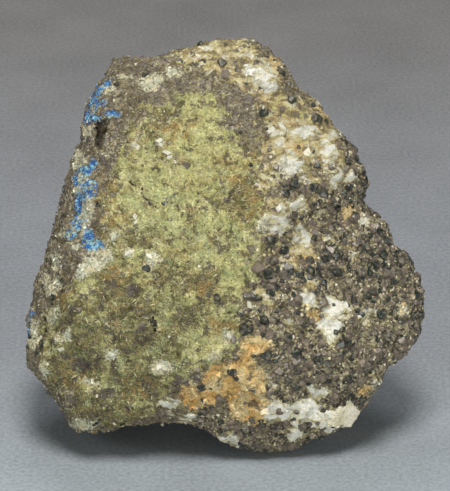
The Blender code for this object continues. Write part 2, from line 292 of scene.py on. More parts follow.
CREAM_PATCHES = [
    (24.9, 78.6, 3.2, 2.6), (23, 57.5, 2.8, 2.4), (26, 103, 3, 1.5, -40), (12.5, 80, 3, 4),
    (14, 95, 5, 3), (15.5, 67.5, 5.5, 5.5, 20), (21, 70.5, 3.4, 2.6), (22.5, 61.5, 3.6, 4.4),
    (18, 56, 5, 2.5), (12, 45, 4, 3), (22, 50, 3.5, 2.5), (28, 62, 3, 2), (18, 37, 2.5, 2),
]
PALE_PATCHES = [
    (-21, 106, 3.8, 2.3, 10), (-33, 103.5, 1.9, 0.9, 5), (12, 110, 3, 2, -40), (-39, 92, 1.0, 2.0, 20),
    (-39.5, 72, 2.6, 11, 8), (-37, 54.5, 6.0, 2.3, 42), (-48.5, 48, 3.4, 2.0, 40), (-54, 34, 2.2, 3.4),
    (-40, 9.0, 3.6, 2.2, 10), (-27, 57.7, 1.2, 1.0), (-20.5, 56.3, 2.2, 1.9), (1, 35, 1.4, 1.6),
    (-2.4, 29.5, 2.6, 0.9, 40), (-17.5, 26, 2.8, 1.5), (-32, 29.5, 1.4, 1.4), (-37.7, 21.7, 2.6, 1.0),
    (-45, 34.5, 2.4, 1.5), (50.5, 41.5, 1.5, 2.6), (-28.5, 108, 2.0, 0.8, 20), (-33, 86, 1.6, 0.8),
    (-31, 62, 1.8, 1.0, 20), (-42, 60, 1.5, 1.0), (-48, 40, 1.6, 1.6), (16, 80.5, 3, 2),
    (12, 66, 3.5, 2.5), (-41.5, 84, 2.0, 3.0), (-39.7, 75, 2.6, 1.5), (-38.5, 67, 1.6, 1.4),
    (-36.5, 59, 2.6, 1.6, 30), (-45, 63, 2.0, 1.2), (-50, 25, 1.4, 2.4), (-9.5, 21, 2.0, 1.0),
    (-14, 109, 2.4, 1.4), (-47.5, 55, 1.4, 2.4, 20), (-51, 50, 1.2, 2.0, 20),
]
LIMONITE_PATCHES = [
    (9.0, 32, 4.4, 3.0, -10), (5.7, 28.5, 2.6, 4.0), (2.9, 22.6, 8.6, 5.0), (6.5, 15.7, 5.6, 6.4),
    (-6.9, 17.8, 4.8, 3.6), (24.3, 40.6, 1.5, 1.4), (34.3, 69.4, 1.8, 1.6), (39.7, 19, 1.3, 1.3),
    (23, 56, 1.4, 1.2), (20, 88, 3, 1.2), (28, 97.5, 2.4, 1.4, -30), (14, 112, 2, 1.4, -40),
    (50.5, 41.5, 1.0, 1.6),
]
AZURITE_SWELLS = 0.20
AZURITE_PATCHES = [
    (-35, 104.5, 3.2, 0.9, 40), (-36.5, 100, 2.0, 1.2), (-39, 96, 1.1, 1.7), (-32, 96.5, 1.7, 1.0, 5),
    (-36, 95.4, 1.4, 1.0), (-37.7, 82.3, 1.2, 1.3), (-39.4, 80.6, 1.6, 1.0, 20),
    (-41.7, 78.9, 1.3, 1.4), (-38, 76.9, 1.9, 1.2, 20), (-38, 74.9, 1.6, 1.0),
    (-40.6, 72, 1.9, 1.8, 30), (-41.4, 69.1, 1.2, 1.2), (-40.9, 66.6, 1.7, 1.0),
    (-42.6, 64, 1.8, 1.2, 30), (-38, 63.1, 1.3, 1.3), (-38.3, 61.4, 1.4, 1.6), (-36.6, 60.6, 1.2, 0.9),
    (-56.3, 39.7, 1.2, 1.6), (-56.3, 34.9, 1.0, 1.6),
]
print(len(CALCITE_PATCHES), "calcite patches and", len(AZURITE_PATCHES), "of azurite")

# %% [markdown]
# The crust isn't one colour. Where it is thin the brown matrix stains it, grey grains poke through,
# and some parts are greener, brighter or rusty. These stains only steer the colours. The block, the
# cavity and the cracks also change the relief.

# %% Stains, block, cavity and cracks
BROWN_STAINS = [
    (-19.5, 97, 7, 5.5), (3, 75, 7, 6, 20), (-4, 63.5, 3.5, 2.4), (-23, 62, 6, 2.6), (7, 87, 3, 2),
    (-35.5, 53, 2.5, 1.5), (-36, 44, 4, 3, 30), (-44, 41, 3, 4), (-28, 20, 5, 3), (-33, 13, 6, 3),
    (-17, 42, 4, 2.5), (-8, 49, 3, 1.5), (-13, 51, 3, 2), (-47, 24, 4, 3), (-31, 38, 3, 2),
    (-32, 73, 2.6, 7), (-33, 65, 3.2, 5), (-14, 33, 2, 4), (7, 66, 2, 3), (-20, 27, 2, 4),
    (-32, 49, 5, 4), (-21, 44, 5, 5), (-10, 38, 5, 4), (-40, 30, 5, 7), (-25, 34, 6, 3.5),
    (-37, 14, 5, 4), (5, 73, 5, 8), (-26, 41, 5, 4),
]
GREY_STAINS = [
    (1, 95, 2.2, 5), (12, 97.5, 3, 3), (-10, 83.5, 2.3, 1.4), (-42, 43, 2.4, 2.0),
    (-25.7, 47, 2.0, 2.0), (-22.9, 37, 2.4, 2.4), (-13.4, 41, 1.6, 2.0), (-7.7, 45.7, 2.2, 1.8),
    (-5, 54, 2.2, 1.4), (-37, 30, 2.4, 1.6), (-39.5, 26.5, 2.6, 2.6), (-27, 30.5, 2.4, 1.4),
    (-45.7, 29.4, 1.8, 1.8), (-51.4, 33.4, 1.8, 1.8), (-53.4, 29, 1.6, 2.0), (-47, 17, 2.4, 2.0),
    (-43, 16, 2.4, 2.4), (-33, 19, 2.8, 2.0), (-21, 22, 2.4, 2.2), (-13, 21, 3.0, 3.4),
    (-16, 72, 1.8, 2.6, -30), (-26, 66, 3.0, 1.8), (5, 82, 2.0, 1.8), (-6, 76, 1.8, 1.4),
    (-7, 69.5, 3.4, 2.2), (7.5, 80.5, 2.0, 1.5), (-27.5, 86.5, 2.6, 2.0), (3, 58, 2.0, 1.6),
]
GREEN_STAINS = [
    (-20, 71, 11, 7, -15), (-18, 31, 3.0, 5.0), (-12, 50, 4, 3), (-36, 38, 4, 2.4),
    (-44.5, 34, 3.0, 2.0), (4, 68, 2, 3), (-28, 23, 6, 2.5, 20), (-17, 26, 3, 1.6),
]
BRIGHT_STAINS = [
    (-5.5, 32, 7.0, 7.0), (-5, 86, 9, 8), (-17, 79, 9, 4), (-37, 48.5, 3, 1.6), (0, 52, 3, 2),
    (-26, 78, 5, 4), (-5, 99, 4, 3), (4, 48, 2, 3), (0, 67, 3, 2),
]
RUST_STAINS = [
    (-25, 20, 4.4, 2.8), (8, 70, 3.5, 3.5), (8, 85, 2.5, 1.6), (-8, 48, 2.4, 1.5), (2, 79, 2.5, 2),
    (-32, 71, 2.8, 8), (-15, 92, 4, 2.5), (-44, 45, 2.4, 1.6), (-2, 37, 2.5, 1.6), (-31, 52, 3, 1.6),
    (-40, 22, 3, 2),
]
BLOCK_PATCHES = [(34.3, 11.5, 4.8, 3.8, -20)]
CAVITY_PATCHES = [(-35.2, 91.2, 1.5, 3.0, -10), (-36.5, 88.0, 1.0, 1.4)]
CRACKS = [
    [(-26.9, 77.7), (-23.3, 75.2), (-22, 72.3), (-19.1, 70.6)],
    [(-50.6, 39.7), (-50.2, 37.4), (-49.4, 35.1)],
    [(-15.1, 55.1), (-12, 54.2), (-8.9, 54.3)],
    [(-20.6, 40), (-19.2, 37.6), (-18.4, 35.4)],
]
CRACK_HALF_WIDTH = 0.30
print(len(CRACKS), "cracks")

# %% [markdown]
# Behind the outline the front's map makes way for slow noise of the same minerals, so the back is
# as rich as the front and there is no seam where one ends.

# %% Depth inside each mineral
on_front = smooth_step(out, -7, 1)


def everywhere(front_depth, back_depth):
    """The front's own layout, running over into the back's layout behind the outline."""
    return back_depth + (front_depth - back_depth) * on_front


NOT_BEHIND = -9.0
cream_depth = np.maximum(patch_depth(CREAM_PATCHES), border_depth(CREAM_BORDER))
azurite_depth = patch_depth(AZURITE_PATCHES) + AZURITE_SWELLS
# Depth on the front, then how common it is behind, how strongly it varies, its length and its seed.
LAYOUT = {
    "adamite": (border_depth(ADAMITE_BORDER), -2.5, 7, 22, 11),
    "ore": (border_depth(ORE_BORDER), 1.0, 6, 24, 12),
    "calcite": (patch_depth(CALCITE_PATCHES), -3.0, 7, 10, 13),
    "cream": (cream_depth, -2.6, 6, 8, 14),
    "pale": (patch_depth(PALE_PATCHES), -2.8, 6, 7, 17),
    "limonite": (patch_depth(LIMONITE_PATCHES), -3.4, 7, 12, 15),
    "azurite": (azurite_depth, -6.0, 7, 9, 16),
}
minerals = {}
for name, (depth, common, varies, length, seed) in LAYOUT.items():
    minerals[name] = everywhere(depth, common + varies * noise_at(places, length, seed, 2))
minerals["block"] = everywhere(patch_depth(BLOCK_PATCHES), NOT_BEHIND)
minerals["cavity"] = everywhere(patch_depth(CAVITY_PATCHES), NOT_BEHIND)
minerals["crack"] = everywhere(line_depth(CRACKS, CRACK_HALF_WIDTH), NOT_BEHIND)
for name, stains in (
    ("brown", BROWN_STAINS), ("grey", GREY_STAINS), ("green", GREEN_STAINS), ("bright", BRIGHT_STAINS),
    ("rust", RUST_STAINS),
):
    minerals[name] = everywhere(patch_depth(stains), -2 + 5 * noise_at(places, 9, 40 + len(name), 2))
for name, depth in minerals.items():
    print(name, "covers", round(100 * float((depth > 0).mean()), 1), "% of the points")

# %% [markdown]
# ## The relief of each mineral
#
# Ore and matrix are granular, so their ground is a packing of rounded cells. Calcite breaks along
# flat cleavage planes, so its ground is made of small tilted flats with steps between them. The
# adamite is a crust: it stands a little above the matrix and is finely knobbly. The relief fades
# where the lump rests on its support, so it still stands on the same flat places as the solid.

# %% Raise the surface
CRUST_THICKNESS = 0.45
CALCITE_STANDS, CREAM_STANDS, PALE_STANDS = 0.35, 0.3, 0.3
GROUND_SINKS, ORE_SINKS = 0.35, 0.45
SLOW_SWELL, KNOB_SWELL = 0.5, 1.0
GRANULE_LENGTH, GRANULE_HEIGHT = 2.1, 0.75
FLAT_LENGTH, FLAT_SLOPE = 4.4, 0.24
KNOB_LENGTH, KNOB_HEIGHT = 2.6, 0.60
MATRIX_FLAT_LENGTH, MATRIX_FLAT_HEIGHT = 3.6, 0.9
CAVITY_DEPTH = 2.6
CRACK_DEPTH = 0.7


def cells_at(points, length):
    """Bumps of a packing of cells: 1 at the middle of each cell and about 0 between them."""
    heights = []
    for point in points:
        distances, _ = noise.voronoi(Vector(point) / (length * MM))
        heights.append(min(1.0, 1.6 * (distances[1] - distances[0])))
    return np.array(heights)


def flats_at(points, length):
    """Small tilted flats with steps between them, as cleavage leaves them."""
    heights = []
    for point in points:
        place = Vector(point) / (length * MM)
        _, middles = noise.voronoi(place)
        heights.append((place - middles[0]).dot(noise.cell_vector(middles[0] * 3.0)))
    return np.array(heights)


adamite_share = smooth_step(minerals["adamite"], -0.6, 0.8)
calcite_share = smooth_step(minerals["calcite"], -0.3, 0.5)
cream_share = smooth_step(minerals["cream"], -0.3, 0.5)
pale_share = smooth_step(minerals["pale"], -0.3, 0.5)
block_share = smooth_step(minerals["block"], -0.3, 0.5)
ore_share = smooth_step(minerals["ore"], -0.8, 0.8)
granular = cells_at(places, GRANULE_LENGTH) * GRANULE_HEIGHT * (0.25 + 0.75 * ore_share)
granular *= 1 - 0.6 * cream_share
granular += (1 - ore_share) * (
    MATRIX_FLAT_HEIGHT * flats_at(places, MATRIX_FLAT_LENGTH) + 0.45 * fine
)
knobbly = KNOB_HEIGHT * noise_at(places, KNOB_LENGTH, 21, 3) + CRUST_THICKNESS + KNOB_SWELL * middling
cleaved = FLAT_SLOPE * FLAT_LENGTH * flats_at(places, FLAT_LENGTH) + CALCITE_STANDS
height = granular * (1 - adamite_share) + knobbly * adamite_share
height = height * (1 - calcite_share) + cleaved * calcite_share
stands = CREAM_STANDS * cream_share + PALE_STANDS * pale_share + SLOW_SWELL * slow
height += stands - GROUND_SINKS - ORE_SINKS * ore_share
height *= 1 - 0.85 * block_share
height -= CAVITY_DEPTH * smooth_step(minerals["cavity"], -0.3, 1.0)
height -= CRACK_DEPTH * smooth_step(minerals["crack"], -0.3, 0.2)
resting = smooth_step(-normals[:, 2], 0.75, 0.95) * smooth_step(-places[:, 2], -1.2 * MM, -0.2 * MM)
height *= 1 - resting
places = places + normals * (height * MM)[:, None]
places[:, 2] = np.maximum(places[:, 2], 0.0)
ground.data.vertices.foreach_set("co", places.astype(np.float32).ravel())
ground.data.update()
print("relief from", height.min().round(2), "to", height.max().round(2), "mm")

# %% [markdown]
# A material can't see Python's numbers, so the depths are stored on the points as attributes. The
# hollows between the granules are stored too, so that shade can be painted into them.

# %% Write the minerals onto the points
def write_attribute(mesh, name, values):
    attribute = mesh.attributes.new(name, "FLOAT", "POINT")
    attribute.data.foreach_set("value", values.astype(np.float32))


across, up, out = face_place(places)
for name, depth in minerals.items():
    write_attribute(ground.data, name, np.clip(depth, -6, 6))
write_attribute(ground.data, "hollow", np.clip(cells_at(places, GRANULE_LENGTH), 0, 1))
lower_left = smooth_step(68 - up - 0.25 * across, 0, 46) * on_front
write_attribute(ground.data, "lower_left", lower_left)
print(len(ground.data.attributes), "attributes on the ground")

# %% [markdown]
# ## Writing shaders as sums
#
# A mineral's colour is many noises mixed by many masks. Written node by node that is unreadable, so
# a small class wraps a socket, and its operators add the Math nodes.

# %% A socket that can be added and multiplied
class Wire:
    """One output socket, with arithmetic that adds Math nodes."""

    def __init__(self, nodes, socket):
        self.nodes = nodes
        self.socket = socket

    def __add__(self, other):
        return self.nodes.maths("ADD", self, other)

    __radd__ = __add__

    def __sub__(self, other):
        return self.nodes.maths("SUBTRACT", self, other)

    def __rsub__(self, other):
        return self.nodes.maths("SUBTRACT", other, self)

    def __mul__(self, other):
        return self.nodes.maths("MULTIPLY", self, other)

    __rmul__ = __mul__

    def output(self, name):
        """Another output of the same node."""
        return Wire(self.nodes, self.socket.node.outputs[name])


print("sockets can be added, subtracted and multiplied")

# %% [markdown]
# Any other node comes from one method, add. The helpers after it are the few patterns that this
# rock needs: spots that cover a wanted share of the surface, angular blocks, wandering threads, and
# blades, which are noise drawn out one way in one crystal and another way in the next.

# %% Nodes by one method
NOISE_SPREAD = NormalDist(0.5, 0.075)
BLADE_TURNS = math.radians(28), math.radians(-20)


class Nodes:
    """A node tree that is filled by one method."""

    def __init__(self, tree):
        self.tree = tree

    def add(self, kind, settings=None, sockets=None, output=0):
        """Adds a node: its settings first, then its sockets' values or links."""
        node = self.tree.nodes.new(kind)
        for key, value in (settings or {}).items():
            setattr(node, key, value)
        for key, value in (sockets or {}).items():
            if isinstance(value, Wire):
                self.tree.links.new(value.socket, node.inputs[key])
            else:
                node.inputs[key].default_value = value
        return Wire(self, node.outputs[output]) if node.outputs else None

    def place(self):
        return self.add("ShaderNodeTexCoord", output="Object")

    def attribute(self, name):
        return self.add("ShaderNodeAttribute", {"attribute_name": name}, output="Fac")

    def noise(self, length, detail=3.0, roughness=0.55, place=None):
        """Noise from 0 to 1 with a wavelength in millimetres."""
        sockets = {"Scale": 1 / (length * MM), "Detail": detail, "Roughness": roughness}
        sockets["Vector"] = place or self.place()
        return self.add("ShaderNodeTexNoise", None, sockets)

    def spots(self, field, share, edge=0.35):
        """Spots that cover a share of the surface, where a noise field is high. A small edge is crisp."""
        level = NOISE_SPREAD.inv_cdf(1 - share)
        reach = edge * NOISE_SPREAD.stdev
        return self.between(field, level - reach, level + reach)

    def layered(self, colour, layers):
        """Spots of colour over each other: field, share, edge, strength and the colour of each layer."""
        for field, share, edge, strength, paint in layers:
            colour = self.colour(self.spots(field, share, edge) * strength, colour, paint)
        return colour

    def share(self, name, edge, softness=0.4):
        """How much of a mineral there is at a point, its edge frayed by noise in millimetres."""
        return self.between(self.attribute(name) + edge, -softness, softness)

    def bent_place(self, length, amount):
        """The object's place, pushed about by noise so that cells get uneven sides."""
        sockets = {"Vector": self.place(), "Scale": 1 / (length * MM)}
        push = self.add("ShaderNodeTexNoise", None, sockets, "Color")
        middle = self.add("ShaderNodeVectorMath", {"operation": "SUBTRACT"}, {0: push, 1: (0.5, 0.5, 0.5)})
        push = self.add("ShaderNodeVectorMath", {"operation": "SCALE"}, {0: middle, "Scale": amount * MM})
        return self.add("ShaderNodeVectorMath", {"operation": "ADD"}, {0: self.place(), 1: push})

    def blocks(self, length):
        """Angular blocks: a random tone for each, and how far a point is from a crack between them."""
        place = self.bent_place(length * 0.6, length * 0.9)
        sockets = {"Vector": place, "Scale": 1 / (length * MM)}
        tone = self.add("ShaderNodeTexVoronoi", None, sockets, "Color")
        tone = self.add("ShaderNodeSeparateXYZ", None, {"Vector": tone}, "X")
        gap = self.add("ShaderNodeTexVoronoi", {"feature": "DISTANCE_TO_EDGE"}, sockets, "Distance")
        return tone, gap

    def drawn_out(self, length, stretch, turn):
        """Noise drawn out along one direction of the face."""
        sockets = {"Vector": self.place(), "Rotation": (0.0, turn, 0.0), "Scale": (stretch, 1.0, 1.0)}
        place = self.add("ShaderNodeMapping", {"vector_type": "TEXTURE"}, sockets)
        return self.noise(length, 4, 0.6, place)

    def blades(self, length, stretch):
        """Noise in blades, which run one way in one crystal and another way in the next."""
        which, _ = self.blocks(7.0)
        first = self.drawn_out(length, stretch, BLADE_TURNS[0])
        second = self.drawn_out(length, stretch, BLADE_TURNS[1])
        return first + (second - first) * self.between(which, 0.45, 0.55)

    def scaled(self, colour, strength):
        return self.add("ShaderNodeVectorMath", {"operation": "SCALE"}, {0: colour, "Scale": strength})

    def threads(self, length, width=0.02, bend=1.5):
        """Thin wandering lines: 1 on a line and 0 off it."""
        sockets = {"Vector": self.place(), "Scale": 1 / (length * MM), "Detail": 3.0, "Distortion": bend}
        field = self.add("ShaderNodeTexNoise", None, sockets)
        return 1 - self.between(self.maths("ABSOLUTE", field - 0.5, 0.0), width * 0.4, width)

    def maths(self, operation, first, second):
        return self.add("ShaderNodeMath", {"operation": operation}, {0: first, 1: second})

    def between(self, value, low, high):
        """0 below low, 1 above high, and smooth between them."""
        sockets = {"Value": value, "From Min": low, "From Max": high}
        return self.add("ShaderNodeMapRange", {"interpolation_type": "SMOOTHSTEP"}, sockets)

    def colour(self, share, first, second):
        """The first colour where share is 0 and the second where it is 1."""
        return self.add("ShaderNodeMix", {"data_type": "RGBA"}, {0: share, 6: first, 7: second}, output=2)

    def bump(self, height, distance, strength=1.0):
        sockets = {"Height": height, "Distance": distance * MM, "Strength": strength}
        return self.add("ShaderNodeBump", None, sockets)

    def surface(self, colour, roughness, normal=None, **plain):
        """A Principled surface, linked to the output. Plain values go straight to its own sockets."""
        sockets = {"Base Color": colour, "Roughness": roughness}
        if normal is not None:
            sockets["Normal"] = normal
        for key, value in plain.items():
            sockets[key.replace("_", " ")] = value
        shader = self.add("ShaderNodeBsdfPrincipled", None, sockets)
        self.add("ShaderNodeOutputMaterial", None, {"Surface": shader})


def new_material(name):
    material = bpy.data.materials.new(name)
    material.use_nodes = True
    material.node_tree.nodes.clear()
    return material, Nodes(material.node_tree)


def rgb(red, green, blue):
    return (red, green, blue, 1.0)


print("shader helpers ready")

# %% [markdown]
# ## The ground's finish
#
# One material colours the whole lump, reading the mineral depths that were written onto its points.
# The points are too far apart for a crisp edge, so each depth gets fine noise before it is cut.

# %% Mineral colours
ADAMITE_BRIGHT = rgb(0.61, 0.59, 0.235)
ADAMITE_OLIVE = rgb(0.385, 0.37, 0.125)
ADAMITE_WORN = rgb(0.275, 0.255, 0.09)
ADAMITE_BROWN = rgb(0.195, 0.18, 0.06)
ADAMITE_GREEN = rgb(0.42, 0.48, 0.22)
ADAMITE_PALE = rgb(0.72, 0.69, 0.38)
ADAMITE_GOLD = rgb(0.46, 0.36, 0.13)
ADAMITE_BEIGE = rgb(0.56, 0.49, 0.31)
OCHRE = rgb(0.40, 0.285, 0.11)
RUST = rgb(0.46, 0.29, 0.085)
BROWN = rgb(0.19, 0.145, 0.065)
UMBER = rgb(0.085, 0.065, 0.035)
# painted shade: a near-black colour for the shade inside the cavity and the cracks
PAINTED_RECESS_SHADE = rgb(0.035, 0.028, 0.02)
GREY_VIOLET = rgb(0.20, 0.17, 0.14)
DARK_VIOLET = rgb(0.12, 0.10, 0.085)
MATRIX_BROWN = rgb(0.26, 0.22, 0.13)
MATRIX_PALE = rgb(0.52, 0.47, 0.32)
ORE_DARK = rgb(0.075, 0.072, 0.055)
ORE_GREY = rgb(0.31, 0.25, 0.19)
CALCITE_WHITE = rgb(0.80, 0.79, 0.68)
CALCITE_CREAM = rgb(0.59, 0.52, 0.26)
CALCITE_TAN = rgb(0.52, 0.40, 0.19)
CALCITE_GREY = rgb(0.50, 0.49, 0.38)
ORE_CREAM = rgb(0.47, 0.42, 0.25)
BLOCK_CREAM = rgb(0.90, 0.83, 0.64)
CREAM = rgb(0.48, 0.43, 0.175)
LIMONITE = rgb(0.82, 0.49, 0.15)
LIMONITE_PALE = rgb(0.93, 0.74, 0.38)
AZURITE = rgb(0.035, 0.17, 0.50)
AZURITE_PALE = rgb(0.34, 0.66, 0.68)
PALE_GREEN = rgb(0.69, 0.71, 0.53)
PALE_CREAM = rgb(0.70, 0.64, 0.41)
print("adamite runs from", ADAMITE_BROWN[:3], "to", ADAMITE_PALE[:3])

# %% [markdown]
# All the minerals share a few noises, coarse to fine, because on a real lump one stain runs over
# several of them. Fraying mixes coarse and fine, so that an edge is ragged at every scale. From
# here on, n is a material's nodes and f is these noises.

# %% Noises that the minerals share
def shared_fields(n):
    """The noises of one material, where rust marks it, and how high each point stands."""
    f = SimpleNamespace()
    f.broad = n.noise(7.0, 4)
    f.drift = n.noise(4.6, 5, 0.6)
    f.mottle = n.noise(3.0, 5, 0.62)
    f.second = n.noise(2.2, 5, 0.62)
    f.lace = n.noise(1.3, 5, 0.72)
    f.speck = n.noise(0.9, 4, 0.62)
    f.grit = n.noise(0.5, 3, 0.6)
    f.blades = n.blades(2.4, 2.8)
    f.crisp = (f.speck - 0.5) * 6 + (f.grit - 0.5) * 3
    f.frayed = f.crisp + (f.mottle - 0.5) * 20 + (f.broad - 0.5) * 12
    f.rust = n.share("rust", f.frayed, 2.0)
    height = n.add("ShaderNodeSeparateXYZ", None, {"Vector": n.place()}, output="Z")
    # how high a point stands: it steers real stains, and on calcite it paints light, brighter low and
    # darker high
    f.stained = n.between(height, 0.03, 0.07)
    return f


print("the minerals share seven noises and the blades")

# %% [markdown]
# The adamite crust is silky yellow-green where it is thick, with beige, gold and greener drifts.
# Where it is thin it is worn through in ragged brown patches. The lower left is worn most. Thin
# dark threads are the cracks between bundles of needles.

# %% Colours of the crust
def crust_colours(n, f):
    brown = n.share("brown", f.frayed, 1.5)
    grey = n.share("grey", f.frayed * 0.5, 0.8)
    green = n.share("green", f.frayed, 2.5)
    bright = n.share("bright", f.frayed, 2.5)
    low = n.attribute("lower_left") * (1 - bright * 0.8)
    dabs = n.noise(2.9, 4, 0.6)
    greener = f.drift + green * 0.08

    clean = n.layered(ADAMITE_BRIGHT, [(f.broad, 0.45, 1.2, 0.6, ADAMITE_OLIVE)])
    clean = n.colour(bright * 0.6, clean, ADAMITE_BRIGHT)
    clean = n.layered(clean, [
        (greener, 0.17, 0.8, 0.65, ADAMITE_GREEN),
        (1 - f.drift, 0.20, 0.8, 0.45, ADAMITE_BEIGE),
        (n.noise(5.6, 5, 0.62) + low * 0.03, 0.17, 0.7, 0.6, ADAMITE_GOLD),
        (f.lace, 0.22, 0.7, 0.35, ADAMITE_PALE),
        (f.second, 0.26, 0.7, 0.6, ADAMITE_WORN),
    ])
    clean = n.colour(low * 0.32, clean, ADAMITE_WORN)
    clean = n.layered(clean, [(dabs, 0.17, 0.6, low * 0.4 + 0.35, ADAMITE_PALE)])

    worn = n.layered(ADAMITE_BROWN, [
        (f.second, 0.30, 0.6, 0.8, OCHRE),
        (1 - f.drift, 0.13, 0.5, 0.85, DARK_VIOLET),
        (greener, 0.16, 0.7, 0.6, ADAMITE_GREEN),
    ])
    worn = n.colour(n.threads(1.6) * 0.7, worn, ADAMITE_PALE)
    worn = n.layered(worn, [(f.speck, 0.16, 0.3, 0.8, UMBER)])

    ragged = n.noise(3.9, 6, 0.64) + brown * 0.09 + low * 0.085 - bright * 0.10 - green * 0.02
    crust = n.colour(n.spots(ragged, 0.20, 0.6), clean, worn)
    crust = n.layered(crust, [
        (1 - f.mottle + grey * 0.15 + low * 0.02, 0.035, 0.4, 0.85, DARK_VIOLET),
        # painted shade: small dark umber spots stand in for the shade in little holes of the crust
        (1 - dabs + low * 0.03 + brown * 0.02, 0.06, 0.4, 0.8, UMBER),
        (f.second, 0.6, 0.8, f.rust * 0.75, RUST),
        (f.mottle, 0.45, 1.0, brown * 0.35, ADAMITE_BROWN),
    ])
    return n.colour(n.threads(3.0, 0.016, 2.2) * (brown + low * 0.5 + 0.25) * 0.8, crust, UMBER)


print("the crust has its colours")

# %% [markdown]
# The matrix is a brown-grey mass of angular bits, so it takes its tone block by block. The ground
# between the ore grains is a packing of dark, grey and pale cells. The cream is weathered calcite:
# bladed white streaks and brown gaps over a tan base.

# %% Colours of matrix, ore ground and cream
def matrix_colours(n, f):
    block_tone, block_gap = n.blocks(3.6)
    matrix = n.layered(MATRIX_BROWN, [
        (f.mottle, 0.5, 0.6, 1, GREY_VIOLET),
        (f.second, 0.22, 0.5, 1, BROWN),
        (f.second, 0.5, 0.8, f.rust * 0.6, RUST),
    ])
    matrix = n.scaled(matrix, block_tone * 0.7 + 0.7)
    matrix = n.layered(matrix, [(f.lace, 0.22, 0.5, 0.7, MATRIX_PALE)])
    matrix = n.colour(n.threads(2.2) * 0.5, matrix, MATRIX_PALE)
    matrix = n.layered(matrix, [(f.speck, 0.12, 0.35, 0.8, UMBER)])
    return n.colour(n.between(block_gap, 0.07, 0.02) * 0.4, matrix, UMBER)


def ore_colours(n, f):
    grain_tone, grain_gap = n.blocks(1.5)
    ore = n.colour(n.between(grain_tone, 0.30, 0.36), ORE_DARK, ORE_GREY)
    ore = n.colour(n.between(grain_tone, 0.66, 0.72), ore, MATRIX_PALE)
    ore = n.layered(ore, [
        (f.drift, 0.25, 0.35, 0.8, MATRIX_BROWN),
        (f.second + (1 - f.stained) * 0.03, 0.11, 0.35, 0.9, ORE_CREAM),
        (f.speck, 0.16, 0.35, 0.8, CALCITE_CREAM),
    ])
    return n.colour(n.between(grain_gap, 0.09, 0.03) * 0.7, ore, UMBER)


def cream_colours(n, f):
    return n.layered(CREAM, [
        (f.broad, 0.45, 1.2, 1, CALCITE_CREAM),
        (f.drift, 0.26, 0.7, 0.8, CALCITE_TAN),
        (f.blades, 0.15, 0.8, 0.8, CALCITE_WHITE),
        (f.second, 0.16, 0.5, 0.8, OCHRE),
        (1 - f.blades, 0.26, 0.6, 0.85, BROWN),
        (n.noise(2.5, 5, 0.66), 0.13, 0.4, 0.8, DARK_VIOLET),
        (f.lace, 0.12, 0.5, 0.6, BROWN),
    ])


print("matrix, ore ground and cream have their colours")

# %% [markdown]
# Clean calcite is white inside, greyer where it is clear, and marked by stains along its rim, more so
# high on the lump. It is also painted brighter low on the lump and darker high up, painted light that
# makes up for the weaker light on the lower face. The limonite is a powdery orange stain. The azurite
# is deep blue with paler crusts.

# %% Colours of calcite, limonite and azurite
def calcite_colours(n, f, within):
    calcite = n.colour(n.between(within, 0.1, 1.7), CALCITE_CREAM, CALCITE_WHITE)
    calcite = n.layered(calcite, [
        (1 - f.blades, 0.30, 0.8, 0.7, CALCITE_CREAM),
        (1 - f.mottle, 0.32, 0.9, 0.7, CALCITE_GREY),
        (f.speck, 0.06, 0.3, 0.5, BROWN),
    ])
    # painted light: calcite is painted brighter low on the lump and darker high up, for the weaker light
    # on the lower face
    return n.scaled(calcite, 1.08 - f.stained * 0.25)


def limonite_colours(n, f):
    limonite = n.layered(LIMONITE, [
        (f.drift, 0.55, 1.2, 1, LIMONITE_PALE),
        (n.noise(1.8, 4, 0.6), 0.16, 0.5, 0.7, CREAM),
        (f.second, 0.20, 0.6, 0.7, OCHRE),
        (1 - f.mottle, 0.10, 0.4, 0.8, DARK_VIOLET),
    ])
    return n.colour(f.stained * 0.75, limonite, CALCITE_TAN)


def azurite_colours(n, f):
    return n.layered(AZURITE, [
        (f.lace, 0.38, 0.35, 1, AZURITE_PALE), (f.second, 0.2, 0.35, 0.9, CALCITE_CREAM),
    ])


print("calcite, limonite and azurite have their colours")

# %% [markdown]
# The minerals are laid over each other in the order in which they grew, each by its own share. The
# last step is a fine speckle, weaker on calcite, cream and limonite, which are smoother. Calcite is
# cut along its blades, so its edge follows the cleavage.

